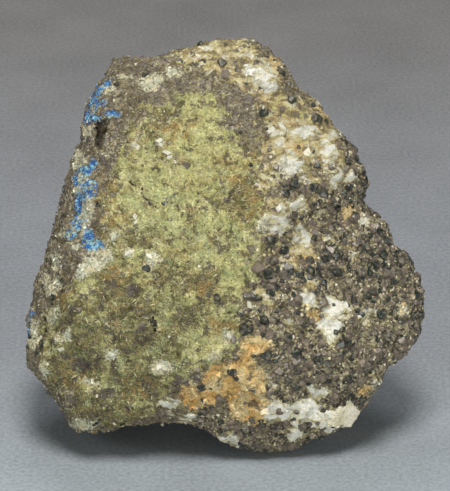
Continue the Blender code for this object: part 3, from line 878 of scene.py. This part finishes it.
# %% All the minerals together
def mineral_colours(n):
    """The colour of whatever mineral lies at a point, and how smooth it is."""
    f = shared_fields(n)
    colour = matrix_colours(n, f)
    colour = n.colour(n.share("ore", f.frayed * 0.6), colour, ore_colours(n, f))
    colour = n.colour(n.share("adamite", f.frayed, 0.8), colour, crust_colours(n, f))
    cream_share = n.share("cream", f.frayed * 0.6, 0.8)
    colour = n.colour(cream_share, colour, cream_colours(n, f))
    pale = n.layered(PALE_GREEN, [
        (f.mottle, 0.45, 0.8, 1, PALE_CREAM), (f.lace, 0.14, 0.35, 0.7, MATRIX_BROWN),
    ])
    colour = n.colour(n.share("pale", f.crisp * 0.6 + f.frayed * 0.15, 0.6), colour, pale)

    bladed = (f.blades - 0.5) * 13
    calcite_share = n.share("calcite", f.crisp * 0.3 + bladed + 0.2, 0.8)
    within = n.attribute("calcite") + bladed + f.crisp * 0.2
    rim = n.between(within, -1.5, -0.5) * (1 - calcite_share) * n.spots(f.second, 0.6, 0.6)
    colour = n.colour(rim * 0.7, colour, n.colour(f.stained, CALCITE_CREAM, OCHRE))
    colour = n.colour(calcite_share, colour, calcite_colours(n, f, within))
    limonite_share = n.share("limonite", f.frayed * 0.35 + f.crisp * 0.3 + 0.3, 0.9)
    colour = n.colour(limonite_share, colour, limonite_colours(n, f))
    colour = n.colour(n.share("azurite", f.crisp * 0.5, 0.5), colour, azurite_colours(n, f))
    block_share = n.share("block", f.crisp * 0.2)
    block = n.layered(BLOCK_CREAM, [(f.broad, 0.4, 1.8, 0.5, CALCITE_CREAM)])
    colour = n.colour(block_share, colour, block)
    # painted shade: the cavity and the cracks are painted near black, for the shade inside them
    colour = n.colour(n.share("cavity", f.crisp * 0.3 - 0.2, 0.6) * 0.9, colour, PAINTED_RECESS_SHADE)
    colour = n.colour(n.share("crack", f.crisp * 0.2, 0.12), colour, PAINTED_RECESS_SHADE)

    smoothness = n.maths("MAXIMUM", calcite_share, block_share)
    smoothness = n.maths("MAXIMUM", smoothness, cream_share * 0.8)
    smoothness = n.maths("MAXIMUM", smoothness, limonite_share * 0.4)
    speckle = (f.grit - 0.5) * 1.4 + (f.speck - 0.5) * 1.1 + (f.lace - 0.5) * 0.6
    return n.scaled(colour, speckle * (1 - smoothness * 0.6) + 1), smoothness


print("the minerals can be laid over each other")

# %% [markdown]
# The ground paints shade into the hollows between the granules and adds a bump for what is finer
# than its net. The small bits that will sit on the ground take the colour of the mineral under them,
# each in its own tone.

# %% The ground and the bits on it
def ground_material():
    material, n = new_material("mineral_ground")
    colour, smoothness = mineral_colours(n)
    speck = n.noise(0.9, 4, 0.62)
    between_grains = n.between(n.attribute("hollow") + (speck - 0.5) * 0.6, 0.30, 0.0)
    crust_share = n.between(n.attribute("adamite"), -0.5, 0.5)
    # painted shade: the hollows between granules are darkened towards umber, except on crust and smooth
    # minerals
    painted_shade_between_grains = between_grains * (1 - crust_share) * (1 - smoothness) * 0.6
    colour = n.colour(painted_shade_between_grains, colour, UMBER)
    _, block_gap = n.blocks(3.6)
    rough_heights = n.noise(1.0, 5, 0.68) * 1.4 + n.between(block_gap, 0.0, 0.10) * 0.4
    heights = rough_heights * (1 - smoothness * 0.75) + n.noise(2.6, 3)
    n.surface(colour, 0.75 - smoothness * 0.25, n.bump(heights, 0.95, 1.0))
    return material


def zone_material(name, darkest, palest, roughness, frosting=None):
    """A finish for small bits that takes its colour from the mineral they sit on, by each bit's tone."""
    material, n = new_material(name)
    colour, _ = mineral_colours(n)
    tone = n.attribute("tone")
    colour = n.scaled(colour, tone * (palest - darkest) + darkest)
    if frosting is not None:
        colour = n.colour(n.between(tone, 0.86, 0.92) * 0.55, colour, frosting)
    n.surface(colour, roughness)
    return material


ground.data.materials.clear()
ground.data.materials.append(ground_material())
ground.data.shade_smooth()
print("ground finished")

# %% [markdown]
# ## Growing small crystals
#
# Thousands of grains sit on the ground. One Geometry Nodes tree scatters any shape: it throws
# points no closer than a spacing onto the ground where a mineral covers it, sinks each a little,
# turns and sizes it, and notes a random tone that its material reads.

# %% The scattering tree
MOST_POINTS_PER_M2 = 3.0e7


def random_value(n, low, high, seed):
    """A random number from low to high for each point or piece."""
    sockets = {2: low, 3: high, "Seed": seed}
    return n.add("FunctionNodeRandomValue", {"data_type": "FLOAT"}, sockets, output=1)


def noted(n, geometry, label, value, domain):
    """The geometry with a number stored on each of its points or pieces."""
    settings = {"data_type": "FLOAT", "domain": domain}
    sockets = {"Geometry": geometry, "Name": label, "Value": value}
    return n.add("GeometryNodeStoreNamedAttribute", settings, sockets)


def noted_value(n, label):
    return n.add("GeometryNodeInputNamedAttribute", {"data_type": "FLOAT"}, {"Name": label})


def tree_inputs(tree):
    """Gives a tree its named inputs and its output."""
    kinds = {"Geometry": "Geometry", "Seed": "Int", "Material": "Material"}
    for label in ("Geometry", "Spacing", "Smallest", "Largest", "Sunk", "Seed", "Material"):
        kind = "NodeSocket" + kinds.get(label, "Float")
        tree.interface.new_socket(label, in_out="INPUT", socket_type=kind)
    tree.interface.new_socket("Geometry", in_out="OUTPUT", socket_type="NodeSocketGeometry")


def random_turn(n, thrown, tilt, spin):
    """Any turn at all, or with a tilt, a piece that lies along the surface and tips no more than that."""
    sockets = {0: (0.0, 0.0, 0.0), 1: (math.tau, math.tau, math.tau), "Seed": 2}
    if tilt:
        sockets = {0: (-tilt, -tilt, 0.0), 1: (tilt, tilt, spin), "Seed": 2}
    turn = n.add("FunctionNodeRandomValue", {"data_type": "FLOAT_VECTOR"}, sockets)
    turn = n.add("FunctionNodeEulerToRotation", None, {0: turn})
    if not tilt:
        return turn
    sockets = {0: thrown.output("Rotation"), 1: turn}
    return n.add("FunctionNodeRotateRotation", {"rotation_space": "LOCAL"}, sockets)


def scatter_tree(name, shapes, cover, tilt, spin):
    """A tree that scatters shapes where cover is 1."""
    tree = bpy.data.node_groups.new(name, "GeometryNodeTree")
    n = Nodes(tree)
    tree_inputs(tree)
    entry = n.add("NodeGroupInput")
    given = {socket.name: Wire(n, socket) for socket in entry.socket.node.outputs if socket.name}

    thrown = n.add("GeometryNodeDistributePointsOnFaces", {"distribute_method": "POISSON"}, {
        "Mesh": given["Geometry"], "Distance Min": given["Spacing"], "Density Max": MOST_POINTS_PER_M2,
        "Density Factor": noted_value(n, cover), "Seed": given["Seed"],
    })
    chance = random_value(n, 0.0, 1.0, 1)
    size = given["Smallest"] + (given["Largest"] - given["Smallest"]) * chance * chance
    depth = size * given["Sunk"] * -1.0
    sink = n.scaled(thrown.output("Normal"), depth)
    sized = noted(n, thrown.output("Points"), "size", size, "POINT")
    seated = n.add("GeometryNodeSetPosition", None, {"Geometry": sized, "Offset": sink})

    joined = n.add("GeometryNodeJoinGeometry")
    for shape in shapes:
        sockets = {"Object": shape, "As Instance": True}
        source = n.add("GeometryNodeObjectInfo", None, sockets, output="Geometry")
        tree.links.new(source.socket, joined.socket.node.inputs[0])
    sockets = {4: 0, 5: len(shapes) - 1, "Seed": 3}
    which = n.add("FunctionNodeRandomValue", {"data_type": "INT"}, sockets, output=2)
    grown = n.add("GeometryNodeInstanceOnPoints", None, {
        "Points": seated, "Instance": joined, "Pick Instance": True,
        "Instance Index": which, "Rotation": random_turn(n, thrown, tilt, spin),
        "Scale": noted_value(n, "size"),
    })
    toned = noted(n, grown, "tone", random_value(n, 0.0, 1.0, 4), "INSTANCE")
    solid = n.add("GeometryNodeRealizeInstances", None, {"Geometry": toned})
    sockets = {"Geometry": solid, "Material": given["Material"]}
    n.add("NodeGroupOutput", None, {"Geometry": n.add("GeometryNodeSetMaterial", None, sockets)})
    return tree


print("one tree can scatter any shape")

# %% [markdown]
# A piece starts as a second object on the ground's mesh. The tree turns it into crystals only, and
# the result is made a plain mesh, without the ground's cover attributes. The modifier's inputs are
# set by their identifiers.

# %% Grow one kind of crystal
def grow(name, shapes, cover, spacing, smallest, largest, sunk, seed, material, tilt=0.0, spin=math.tau):
    """Scatters shapes over the ground, as one plain mesh. Sizes are half sizes in millimetres."""
    tree = scatter_tree(name + "_tree", shapes, cover, tilt, spin)
    piece = placed(name, ground.data)
    step = piece.modifiers.new("scatter", "NODES")
    step.node_group = tree
    values = {
        "Spacing": spacing * MM, "Smallest": smallest * MM, "Largest": largest * MM,
        "Sunk": sunk, "Seed": seed, "Material": material,
    }
    for item in tree.interface.items_tree:
        if item.in_out == "INPUT" and item.name in values:
            step[item.identifier] = values[item.name]
    made_plain(piece)
    for cover_name in covers:
        piece.data.attributes.remove(piece.data.attributes[cover_name])
    print(name, "has", len(piece.data.polygons), "faces")
    return piece


print("the scattering tree is ready")

# %% [markdown]
# Each crystal shape is the hull of a few corners. The dark ore grows as octahedra with worn
# tips, calcite breaks into skewed flat blocks, adamite grows needles, and azurite stubby wedges.
# Every shape is repeated thousands of times, so it has only a few dozen faces.

# %% Corners of each crystal shape
def grain_corners(rng):
    """An octahedral grain with its six tips cut off, a little uneven."""
    corners = []
    for axis in range(3):
        for end in (-1, 1):
            reach = end * rng.uniform(0.76, 0.98)
            for other in ((axis + 1) % 3, (axis + 2) % 3):
                for side in (-1, 1):
                    corner = Vector((0, 0, 0))
                    corner[axis] = reach
                    corner[other] = side * rng.uniform(0.14, 0.36)
                    corners.append(corner)
    return corners


def crumb_corners(rng):
    """An angular broken crumb."""
    corners = []
    for _ in range(10):
        way = Vector((rng.gauss(0, 1), rng.gauss(0, 1), rng.gauss(0, 1))).normalized()
        corners.append(Vector((way.x, way.y * 0.8, way.z * 0.68)) * rng.uniform(0.85, 1.1))
    return corners


def cleavage_corners(rng):
    """A skewed flat block like a cleavage piece of calcite, lying on its side."""
    wide, deep, tall = rng.uniform(0.8, 1.2), rng.uniform(0.5, 0.85), rng.uniform(0.10, 0.18)
    return [
        Vector((x * wide + 0.3 * y + 0.1 * z, y * deep + 0.1 * z, z * tall))
        for x in (-1, 1) for y in (-1, 1) for z in (-1, 1)
    ]


def fibre_corners(rng):
    """A thin fibre that lies along the surface, pointed at both ends."""
    thick = rng.uniform(0.13, 0.22)
    sides = [
        Vector((rng.uniform(-0.3, 0.3), thick * math.cos(angle), thick * math.sin(angle)))
        for angle in (0.5, 2.6, 4.7)
    ]
    return sides + [Vector((-1, 0, 0)), Vector((1, 0, 0))]


def wedge_corners(rng):
    """A stubby crystal: a short prism with a roof."""
    long, thick = rng.uniform(0.8, 1.3), rng.uniform(0.35, 0.55)
    base = [Vector((x * thick, y * thick * 0.8, -0.6)) for x in (-1, 1) for y in (-1, 1)]
    return base + [Vector((x * thick, 0, long * 0.8)) for x in (-0.8, 0.8)]


print("a grain is the hull of", len(grain_corners(random.Random(1))), "corners")

# %% [markdown]
# Several different shapes of each kind are made, so that no two neighbours need be alike. They are
# deleted once everything has grown.

# %% Shapes to scatter
shape_rng = random.Random(5)


def hull(corners):
    """A closed solid round some corners."""
    solid = bmesh.new()
    verts = [solid.verts.new(corner) for corner in corners]
    bmesh.ops.convex_hull(solid, input=verts)
    bmesh.ops.delete(solid, geom=[v for v in solid.verts if not v.link_faces], context="VERTS")
    return solid


def shapes_of(kind, corners, count):
    """Some objects of one kind, for the tree to copy."""
    shapes = []
    for i in range(count):
        solid = hull(corners(shape_rng))
        bmesh.ops.recalc_face_normals(solid, faces=solid.faces)
        mesh = bpy.data.meshes.new(f"{kind}_{i}")
        solid.to_mesh(mesh)
        solid.free()
        shapes.append(placed(f"{kind}_{i}", mesh))
    return shapes


grain_shapes = shapes_of("grain", grain_corners, 6)
crumb_shapes = shapes_of("crumb", crumb_corners, 8)
cleavage_shapes = shapes_of("cleavage", cleavage_corners, 5)
fibre_shapes = shapes_of("fibre", fibre_corners, 5)
wedge_shapes = shapes_of("wedge", wedge_corners, 4)
all_shapes = grain_shapes + crumb_shapes + cleavage_shapes + fibre_shapes + wedge_shapes
print(len(all_shapes), "shapes")

# %% [markdown]
# A cover is a number from 0 to 1 at each point of the ground: how thickly a kind grows there. Ore
# grains crowd on the ore side in clumps, crumbs fill what they leave, and nothing grows near the
# floor, where the lump rests, or on the smooth calcite block.

# %% Where each kind of crystal may grow
above_floor = places[:, 2] / MM
clear_of_floor = smooth_step(above_floor, 2.0, 3.5)
patchy = noise_at(places, 4.5, 31, 2)
clumps = smooth_step(noise_at(places, 3.5, 32, 2), -0.30, 0.10)
adamite_field = smooth_step(minerals["adamite"] + 2.0 * patchy, -1.0, 2.0)
ore_field = smooth_step(minerals["ore"] + 3.0 * patchy, -1.5, 1.5)
bare = (1 - 0.88 * calcite_share) * (1 - 0.9 * cream_share) * (1 - block_share) * clear_of_floor
inner_calcite = smooth_step(minerals["calcite"], 0.5, 1.4)
limonite_share = smooth_step(minerals["limonite"], -0.4, 0.6)
azurite_share = smooth_step(minerals["azurite"], -0.2, 0.3)
grey_share = smooth_step(minerals["grey"], -0.3, 0.6)
matrix_field = (1 - adamite_field) * (1 - ore_field)
azurite_gaps = smooth_step(noise_at(places, 1.6, 33), -0.35, -0.05)
covers = {
    "dark_cover": bare * (
        ore_field * (0.25 + 0.75 * clumps) * (1 - 0.75 * limonite_share)
        + 0.02 * matrix_field + 0.06 * grey_share * adamite_field
    ) + 0.07 * cream_share * (1 - calcite_share) * clear_of_floor,
    "crumb_cover": bare * (1 - 0.60 * limonite_share) * (
        ore_field + matrix_field * 0.40 + 0.10 * adamite_field
    ),
    "pale_cover": clear_of_floor * (
        0.30 * ore_field + 0.04 * matrix_field + 0.02 * adamite_field
        + 0.03 * cream_share + 0.3 * pale_share
    ) * (1 - azurite_share) * (1 - block_share) * (1 - limonite_share),
    "calcite_cover": inner_calcite * (1 - block_share) * smooth_step(above_floor, 5.0, 7.0),
    "fibre_cover": adamite_field * clear_of_floor * (1 - calcite_share),
    "matrix_fibre_cover": matrix_field * clear_of_floor * (1 - calcite_share) * (1 - azurite_share),
    "azurite_cover": azurite_share * clear_of_floor * azurite_gaps,
}
for name, values in covers.items():
    write_attribute(ground.data, name, np.clip(values, 0, 1))
print(len(covers), "covers")

# %% [markdown]
# ## Grain and crystal finishes
#
# Each crystal has its own tone, so that neighbours differ as they do on the real lump. The ore is
# near black and a little metallic, with a brown film on some grains. The rest is stone and glass.

# %% Crystal materials
def toned_material(name, dark, pale, roughness, metallic=0.0, film=None):
    """A crystal finish whose colour runs from dark to pale by each crystal's own tone."""
    material, n = new_material(name)
    tone = n.attribute("tone")
    stain = n.noise(1.1, 4, 0.6)
    colour = n.colour(n.between(tone + (stain - 0.5) * 0.6, 0.1, 0.9), dark, pale)
    if film is not None:
        colour = n.colour(n.between(stain, 0.50, 0.66) * 0.7, colour, film)
    rough = n.between(stain, 0.3, 0.7) * 0.3 + roughness
    n.surface(colour, rough, n.bump(n.noise(0.5, 3), 0.12, 0.7), Metallic=metallic)
    return material


DARK_GRAIN = rgb(0.028, 0.034, 0.028), rgb(0.18, 0.145, 0.11)
dark_grain = toned_material("dark_ore", *DARK_GRAIN, 0.20, 0.1, MATRIX_BROWN)
crumb = zone_material("crumb", 0.55, 1.50, 0.60)
pale_crumb = toned_material("pale_crumb", rgb(0.50, 0.43, 0.26), rgb(0.82, 0.78, 0.62), 0.40, 0.0, OCHRE)
cleavage = zone_material("cleavage", 0.90, 1.08, 0.28)
fibre = zone_material("fibre", 0.78, 1.15, 0.55, ADAMITE_PALE)
azurite_crystal = toned_material("azurite", rgb(0.02, 0.10, 0.38), rgb(0.20, 0.48, 0.72), 0.28)
print(len(bpy.data.materials), "materials")

# %% [markdown]
# The numbers of each kind are its spacing, the half sizes of its smallest and largest piece, how
# deep a piece sits as a share of its size, and the seed. Needles and blocks lie along the surface.

# %% Grow them
FLAT_LYING = 0.35
pieces = [
    grow("dark_ore_grains", grain_shapes, "dark_cover", 1.7, 0.8, 2.0, 0.35, 1, dark_grain),
    grow("mineral_crumbs", crumb_shapes, "crumb_cover", 1.2, 0.45, 1.10, 0.30, 2, crumb),
    grow("pale_crumbs", crumb_shapes, "pale_cover", 1.0, 0.30, 0.9, 0.30, 6, pale_crumb),
    grow(
        "calcite_cleavages", cleavage_shapes, "calcite_cover", 1.6, 0.7, 1.5, 0.08, 3, cleavage, 0.10, 0.8
    ),
    grow("adamite_fibres", fibre_shapes, "fibre_cover", 0.48, 0.4, 1.3, 0.02, 4, fibre, FLAT_LYING),
    grow("matrix_fibres", fibre_shapes, "matrix_fibre_cover", 0.75, 0.35, 0.9, 0.02, 7, fibre, FLAT_LYING),
    grow("azurite_crystals", wedge_shapes, "azurite_cover", 0.5, 0.25, 0.6, 0.2, 5, azurite_crystal, 0.6),
]

# %% [markdown]
# ## The grains that show one by one
#
# Some ore grains are large enough to be known by their place. So are the white chips that lie on
# the crust. Each row is across, up and half size, in millimetres.

# %% Places of the large grains and chips
BLACK_GRAINS = [
    (5.7, 36.8, 2.9), (11.5, 28.6, 2.1), (8, 29, 1.5), (10.3, 97.2, 2.3), (18.6, 100.9, 1.8),
    (24.9, 99.7, 1.4), (25.5, 95.4, 2.2), (6.8, 116.2, 0.8), (12.3, 114.9, 0.9), (14.2, 112.4, 1.2),
    (16.1, 108.5, 1.7), (18.3, 105.5, 1.0), (6, 105.4, 1.0), (36.5, 87.4, 2.3), (36.8, 84.1, 2.2),
    (39.2, 80.8, 2.2), (40, 78.3, 1.8), (39.5, 75.5, 2.0), (27.8, 74.2, 1.8), (33.7, 74.5, 1.8),
    (24.9, 86.2, 1.0), (7.1, 82.4, 1.1), (43.4, 64.6, 2.5), (16, 58.3, 2.3), (17.6, 53.4, 2.2),
    (20.6, 52.0, 2.1), (12.3, 51.1, 2.0), (24, 52.9, 2.1), (21.9, 50.3, 1.7), (12.9, 46.9, 2.0),
    (8.9, 45.3, 1.6), (10.7, 39.4, 2.2), (15.1, 41.9, 1.4), (38.7, 51.4, 2.2), (42.4, 54.6, 1.8),
    (47.4, 46, 2.0), (36.2, 44.7, 2.0), (34, 62.7, 1.6), (20, 29.7, 2.2), (22.2, 27.4, 2.0),
    (38.2, 40.9, 1.6), (-22, 53.5, 1.7), (-2, 45, 1.5), (1.5, 24.5, 1.7), (5, 41, 1.7),
    (-6.5, 20.6, 1.4), (-49, 45, 1.3), (-52, 32, 1.5), (-53, 29.4, 1.9), (-36.5, 9.5, 1.7),
    (-29, 9.5, 1.5), (3.4, 22.6, 1.2), (28.5, 16, 1.2), (19.2, 10.8, 1.4), (31.5, 14.8, 1.3),
    (13.5, 8.8, 1.6), (36.5, 16, 1.4), (-4, 19.7, 0.9), (-6.3, 16.3, 1.0), (23.4, 8.9, 1.9),
    (16, 6, 1.7), (27.7, 13.4, 1.2),
]
BROWN_GRAINS = [
    (20, 97, 1.4), (6.3, 101.4, 2.3), (0.2, 108.6, 2.0), (0.8, 94.5, 1.8), (11.8, 90.7, 1.3),
    (33.7, 90.7, 2.0), (32.1, 88.3, 2.1), (34.3, 81.2, 1.7), (29.9, 81.3, 1.3), (20, 78.6, 1.5),
    (17.2, 77.5, 1.9), (14.5, 81.3, 1.2), (23.3, 75.8, 1.2), (9.2, 52.9, 2.2), (25, 60.3, 1.6),
    (2.6, 33.5, 2.0), (2.6, 28.5, 2.2), (-7.7, 25, 1.4), (2.6, 24.3, 1.6), (-11.2, 21.5, 2.2),
    (-40.7, 42, 1.5), (-22.9, 37.7, 1.6), (29, 52, 1.8), (31.5, 56, 1.8), (14, 63, 1.6), (45, 50, 1.6),
    (17.5, 33.8, 2.0), (27, 33, 1.8), (-1.7, 16.9, 2.0), (-5.7, 13.4, 2.2), (2, 10, 2.1),
    (15.4, 12.9, 1.7), (7.4, 10.6, 1.9), (8, 19.1, 1.1),
]
WHITE_CHIPS = [
    (-25.3, 88.3, 0.9), (-24.3, 87.2, 0.6), (-18.4, 89.3, 0.9), (-17.8, 87.9, 0.8), (-16.2, 85.8, 0.9),
    (-15.4, 84.5, 0.8), (-14.0, 83.2, 0.6), (-27, 57.9, 0.9), (-25.8, 58.2, 0.6), (-21, 56.8, 0.9),
    (-31.8, 29.5, 0.8), (-31.0, 28.4, 0.6), (-46, 30.8, 0.8), (-25, 68, 0.7), (-24.7, 66.4, 0.6),
    (1.1, 34.9, 1.0), (-18.2, 26.2, 1.1), (-17.0, 25.8, 0.8), (6.8, 43.4, 1.1), (22.9, 85.6, 1.6),
]
print(len(BLACK_GRAINS), "black grains and", len(BROWN_GRAINS), "brown ones")

# %% [markdown]
# Each is set where the line of sight meets the ground, so it sits on the rock from every side. Its
# edges are bevelled, because at this size a knife-sharp edge would show.

# %% Set them one by one
LARGE_GRAIN_SUNK = 0.45
CHIP_SUNK = -0.1
BEVEL = 0.06


def loose_solid(corners, turn, size, place):
    """A little closed solid round some corners, turned, sized and put in place."""
    solid = hull(corners)
    bmesh.ops.dissolve_limit(solid, angle_limit=math.radians(4), verts=solid.verts, edges=solid.edges)
    bmesh.ops.bevel(solid, geom=list(solid.edges), offset=BEVEL, segments=2, affect="EDGES")
    bmesh.ops.triangulate(solid, faces=solid.faces)
    solid.transform(Matrix.Translation(place) @ turn @ Matrix.Scale(size, 4))
    return solid


FAR_OUT = 120
ground_tree = BVHTree.FromPolygons(
    [Vector(p) for p in places], [list(f.vertices) for f in ground.data.polygons]
)


def sight(at_across, at_up):
    """Where the line of sight through a place of the face meets the ground, and the normal there."""
    start = row_place(at_across, at_up, FAR_OUT)
    way = (row_place(at_across, at_up, -FAR_OUT) - start).normalized()
    place, normal, _, _ = ground_tree.ray_cast(start, way)
    return place, normal


def set_one_by_one(name, seats, corners, sunk, flat, tones, material):
    """One mesh of solids, each at its own place of the face."""
    rng = random.Random(9)
    mesh = bmesh.new()
    tone_layer = mesh.verts.layers.float.new("tone")
    for at_across, at_up, size in seats:
        place, normal = sight(at_across, at_up)
        if place is None:
            continue
        turn = Euler([rng.uniform(0, math.tau) for _ in range(3)]).to_matrix().to_4x4()
        if flat:
            spin = Matrix.Rotation(rng.uniform(0, math.pi), 4, "Z")
            turn = normal.to_track_quat("Z", "Y").to_matrix().to_4x4() @ spin
        solid = loose_solid(corners(rng), turn, size * MM, place - normal * size * MM * sunk)
        tone = rng.uniform(*tones)
        moved = {v: mesh.verts.new(v.co) for v in solid.verts}
        for vertex in moved.values():
            vertex[tone_layer] = tone
        for face in solid.faces:
            mesh.faces.new([moved[v] for v in face.verts])
        solid.free()
    data = bpy.data.meshes.new(name)
    mesh.to_mesh(data)
    mesh.free()
    data.materials.append(material)
    print(name, "has", len(data.polygons), "faces")
    return placed(name, data)


CHIP_DARK = rgb(0.60, 0.57, 0.42)
CHIP_PALE = rgb(0.78, 0.76, 0.64)
white_chip = toned_material("white_chip", CHIP_DARK, CHIP_PALE, 0.35, 0.0, CREAM)
for name, seats, corners, sunk, flat, tones, material in (
    ("large_black_grains", BLACK_GRAINS, grain_corners, LARGE_GRAIN_SUNK, False, (0, 0.3), dark_grain),
    ("large_brown_grains", BROWN_GRAINS, grain_corners, LARGE_GRAIN_SUNK, False, (0.6, 1), dark_grain),
    ("white_chips", WHITE_CHIPS, cleavage_corners, CHIP_SUNK, True, (0.3, 1), white_chip),
):
    pieces.append(set_one_by_one(name, seats, corners, sunk, flat, tones, material))
for shape in all_shapes:
    bpy.data.objects.remove(shape, do_unlink=True)

# %% [markdown]
# ## Light, floor and camera
#
# The specimen stands on plain grey paper with a faint weave. The paper is painted brighter near the
# camera and darker far off, a painted falloff of the light, and a little bluer near the camera. A
# large plane is enough, because the camera looks down on it.

# %% Floor
# paper colours: painted brighter near the camera and darker far off, a painted falloff of the light
PAPER_NEAR = rgb(0.35, 0.40, 0.43)
PAPER_MIDDLE = rgb(0.25, 0.265, 0.285)
PAPER_FAR = rgb(0.22, 0.214, 0.21)

bpy.ops.mesh.primitive_plane_add(size=4.0, location=(0, 0, 0))
plane = bpy.context.object
plane.name = "floor"
paper, n = new_material("paper_with_painted_falloff")
away = n.add("ShaderNodeSeparateXYZ", None, {"Vector": n.place()}, output="Y")
# painted light: the paper darkens with distance from the camera, as if the light fell off
colour = n.colour(n.between(away, -0.09, 0.07), PAPER_NEAR, PAPER_MIDDLE)
colour = n.colour(n.between(away, 0.10, 0.36), colour, PAPER_FAR)
weave = n.noise(1.2, 3) * 0.9 + n.noise(38, 2) * 0.4 + 0.35
n.surface(n.scaled(colour, weave), 0.9)
plane.data.materials.append(paper)
print("floor laid")

# %% [markdown]
# The key light hangs nearly overhead, so the shadow lies close under the lump. A low fill from the
# camera's side opens the lower face, two fills keep the sides from going black, and one light
# behind keeps the back readable when the part is seen from there.

# %% Lights
def area_light(name, place, target, size, power, tint=(1, 1, 1)):
    """A round soft light that points at a target."""
    data = bpy.data.lights.new(name, "AREA")
    data.shape = "DISK"
    data.size = size
    data.energy = power
    data.color = tint
    light = placed(name, data)
    light.location = place
    light.rotation_mode = "QUATERNION"
    light.rotation_quaternion = (Vector(target) - Vector(place)).to_track_quat("-Z", "Y")


MIDDLE = (0, 0, 0.05)
LOW_MIDDLE = (0, 0, 0.04)
ROOM_COLOUR = rgb(0.9, 0.95, 1.0)
ROOM_STRENGTH = 0.03

area_light("key", (0.0, -0.27, 0.84), MIDDLE, 0.32, 6.0, (1.0, 0.98, 0.95))
area_light("back_light", (-0.10, 0.50, 0.74), MIDDLE, 0.50, 2.2)
area_light("low_fill", (0.0, -0.95, 0.11), LOW_MIDDLE, 0.18, 3.7)
area_light("left_fill", (-0.80, -0.25, 0.42), LOW_MIDDLE, 0.45, 1.2)
area_light("right_fill", (0.80, -0.25, 0.42), LOW_MIDDLE, 0.45, 1.3)
world = bpy.data.worlds.new("room")
world.use_nodes = True
background = world.node_tree.nodes["Background"].inputs
background["Color"].default_value = ROOM_COLOUR
background["Strength"].default_value = ROOM_STRENGTH
bpy.context.scene.world = world
bpy.context.scene.view_settings.view_transform = "Standard"
print(len(bpy.data.lights), "lights")

# %% [markdown]
# The camera looks square at the leaning face through a long lens, as a mineral portrait is taken.
# The lens follows from the picture's height in millimetres at the face and the camera's distance.

# %% Camera
PICTURE_WIDTH, PICTURE_HEIGHT = 450, 491
PIXELS_PER_MM = 3.5
PICTURE_ACROSS_ZERO, PICTURE_UP_ZERO = 225, 455
CAMERA_DISTANCE = 0.9
LONG_SIDE = 36.0

aim_up = (PICTURE_UP_ZERO - PICTURE_HEIGHT / 2) / PIXELS_PER_MM
aim_across = (PICTURE_WIDTH / 2 - PICTURE_ACROSS_ZERO) / PIXELS_PER_MM
camera_data = bpy.data.cameras.new("camera")
camera_data.sensor_width = LONG_SIDE
camera_data.lens = LONG_SIDE * CAMERA_DISTANCE / (PICTURE_HEIGHT / PIXELS_PER_MM * MM)
camera = placed("camera", camera_data)
camera.location = row_place(aim_across, aim_up, CAMERA_DISTANCE / MM)
camera.rotation_mode = "QUATERNION"
camera.rotation_quaternion = Vector(-OUT).to_track_quat("-Z", "Y")
bpy.context.scene.camera = camera
print("lens", round(camera_data.lens), "mm")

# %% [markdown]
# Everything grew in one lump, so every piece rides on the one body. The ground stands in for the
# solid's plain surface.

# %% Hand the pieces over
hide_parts("rock")
for piece in [ground, *pieces]:
    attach(piece, "root")
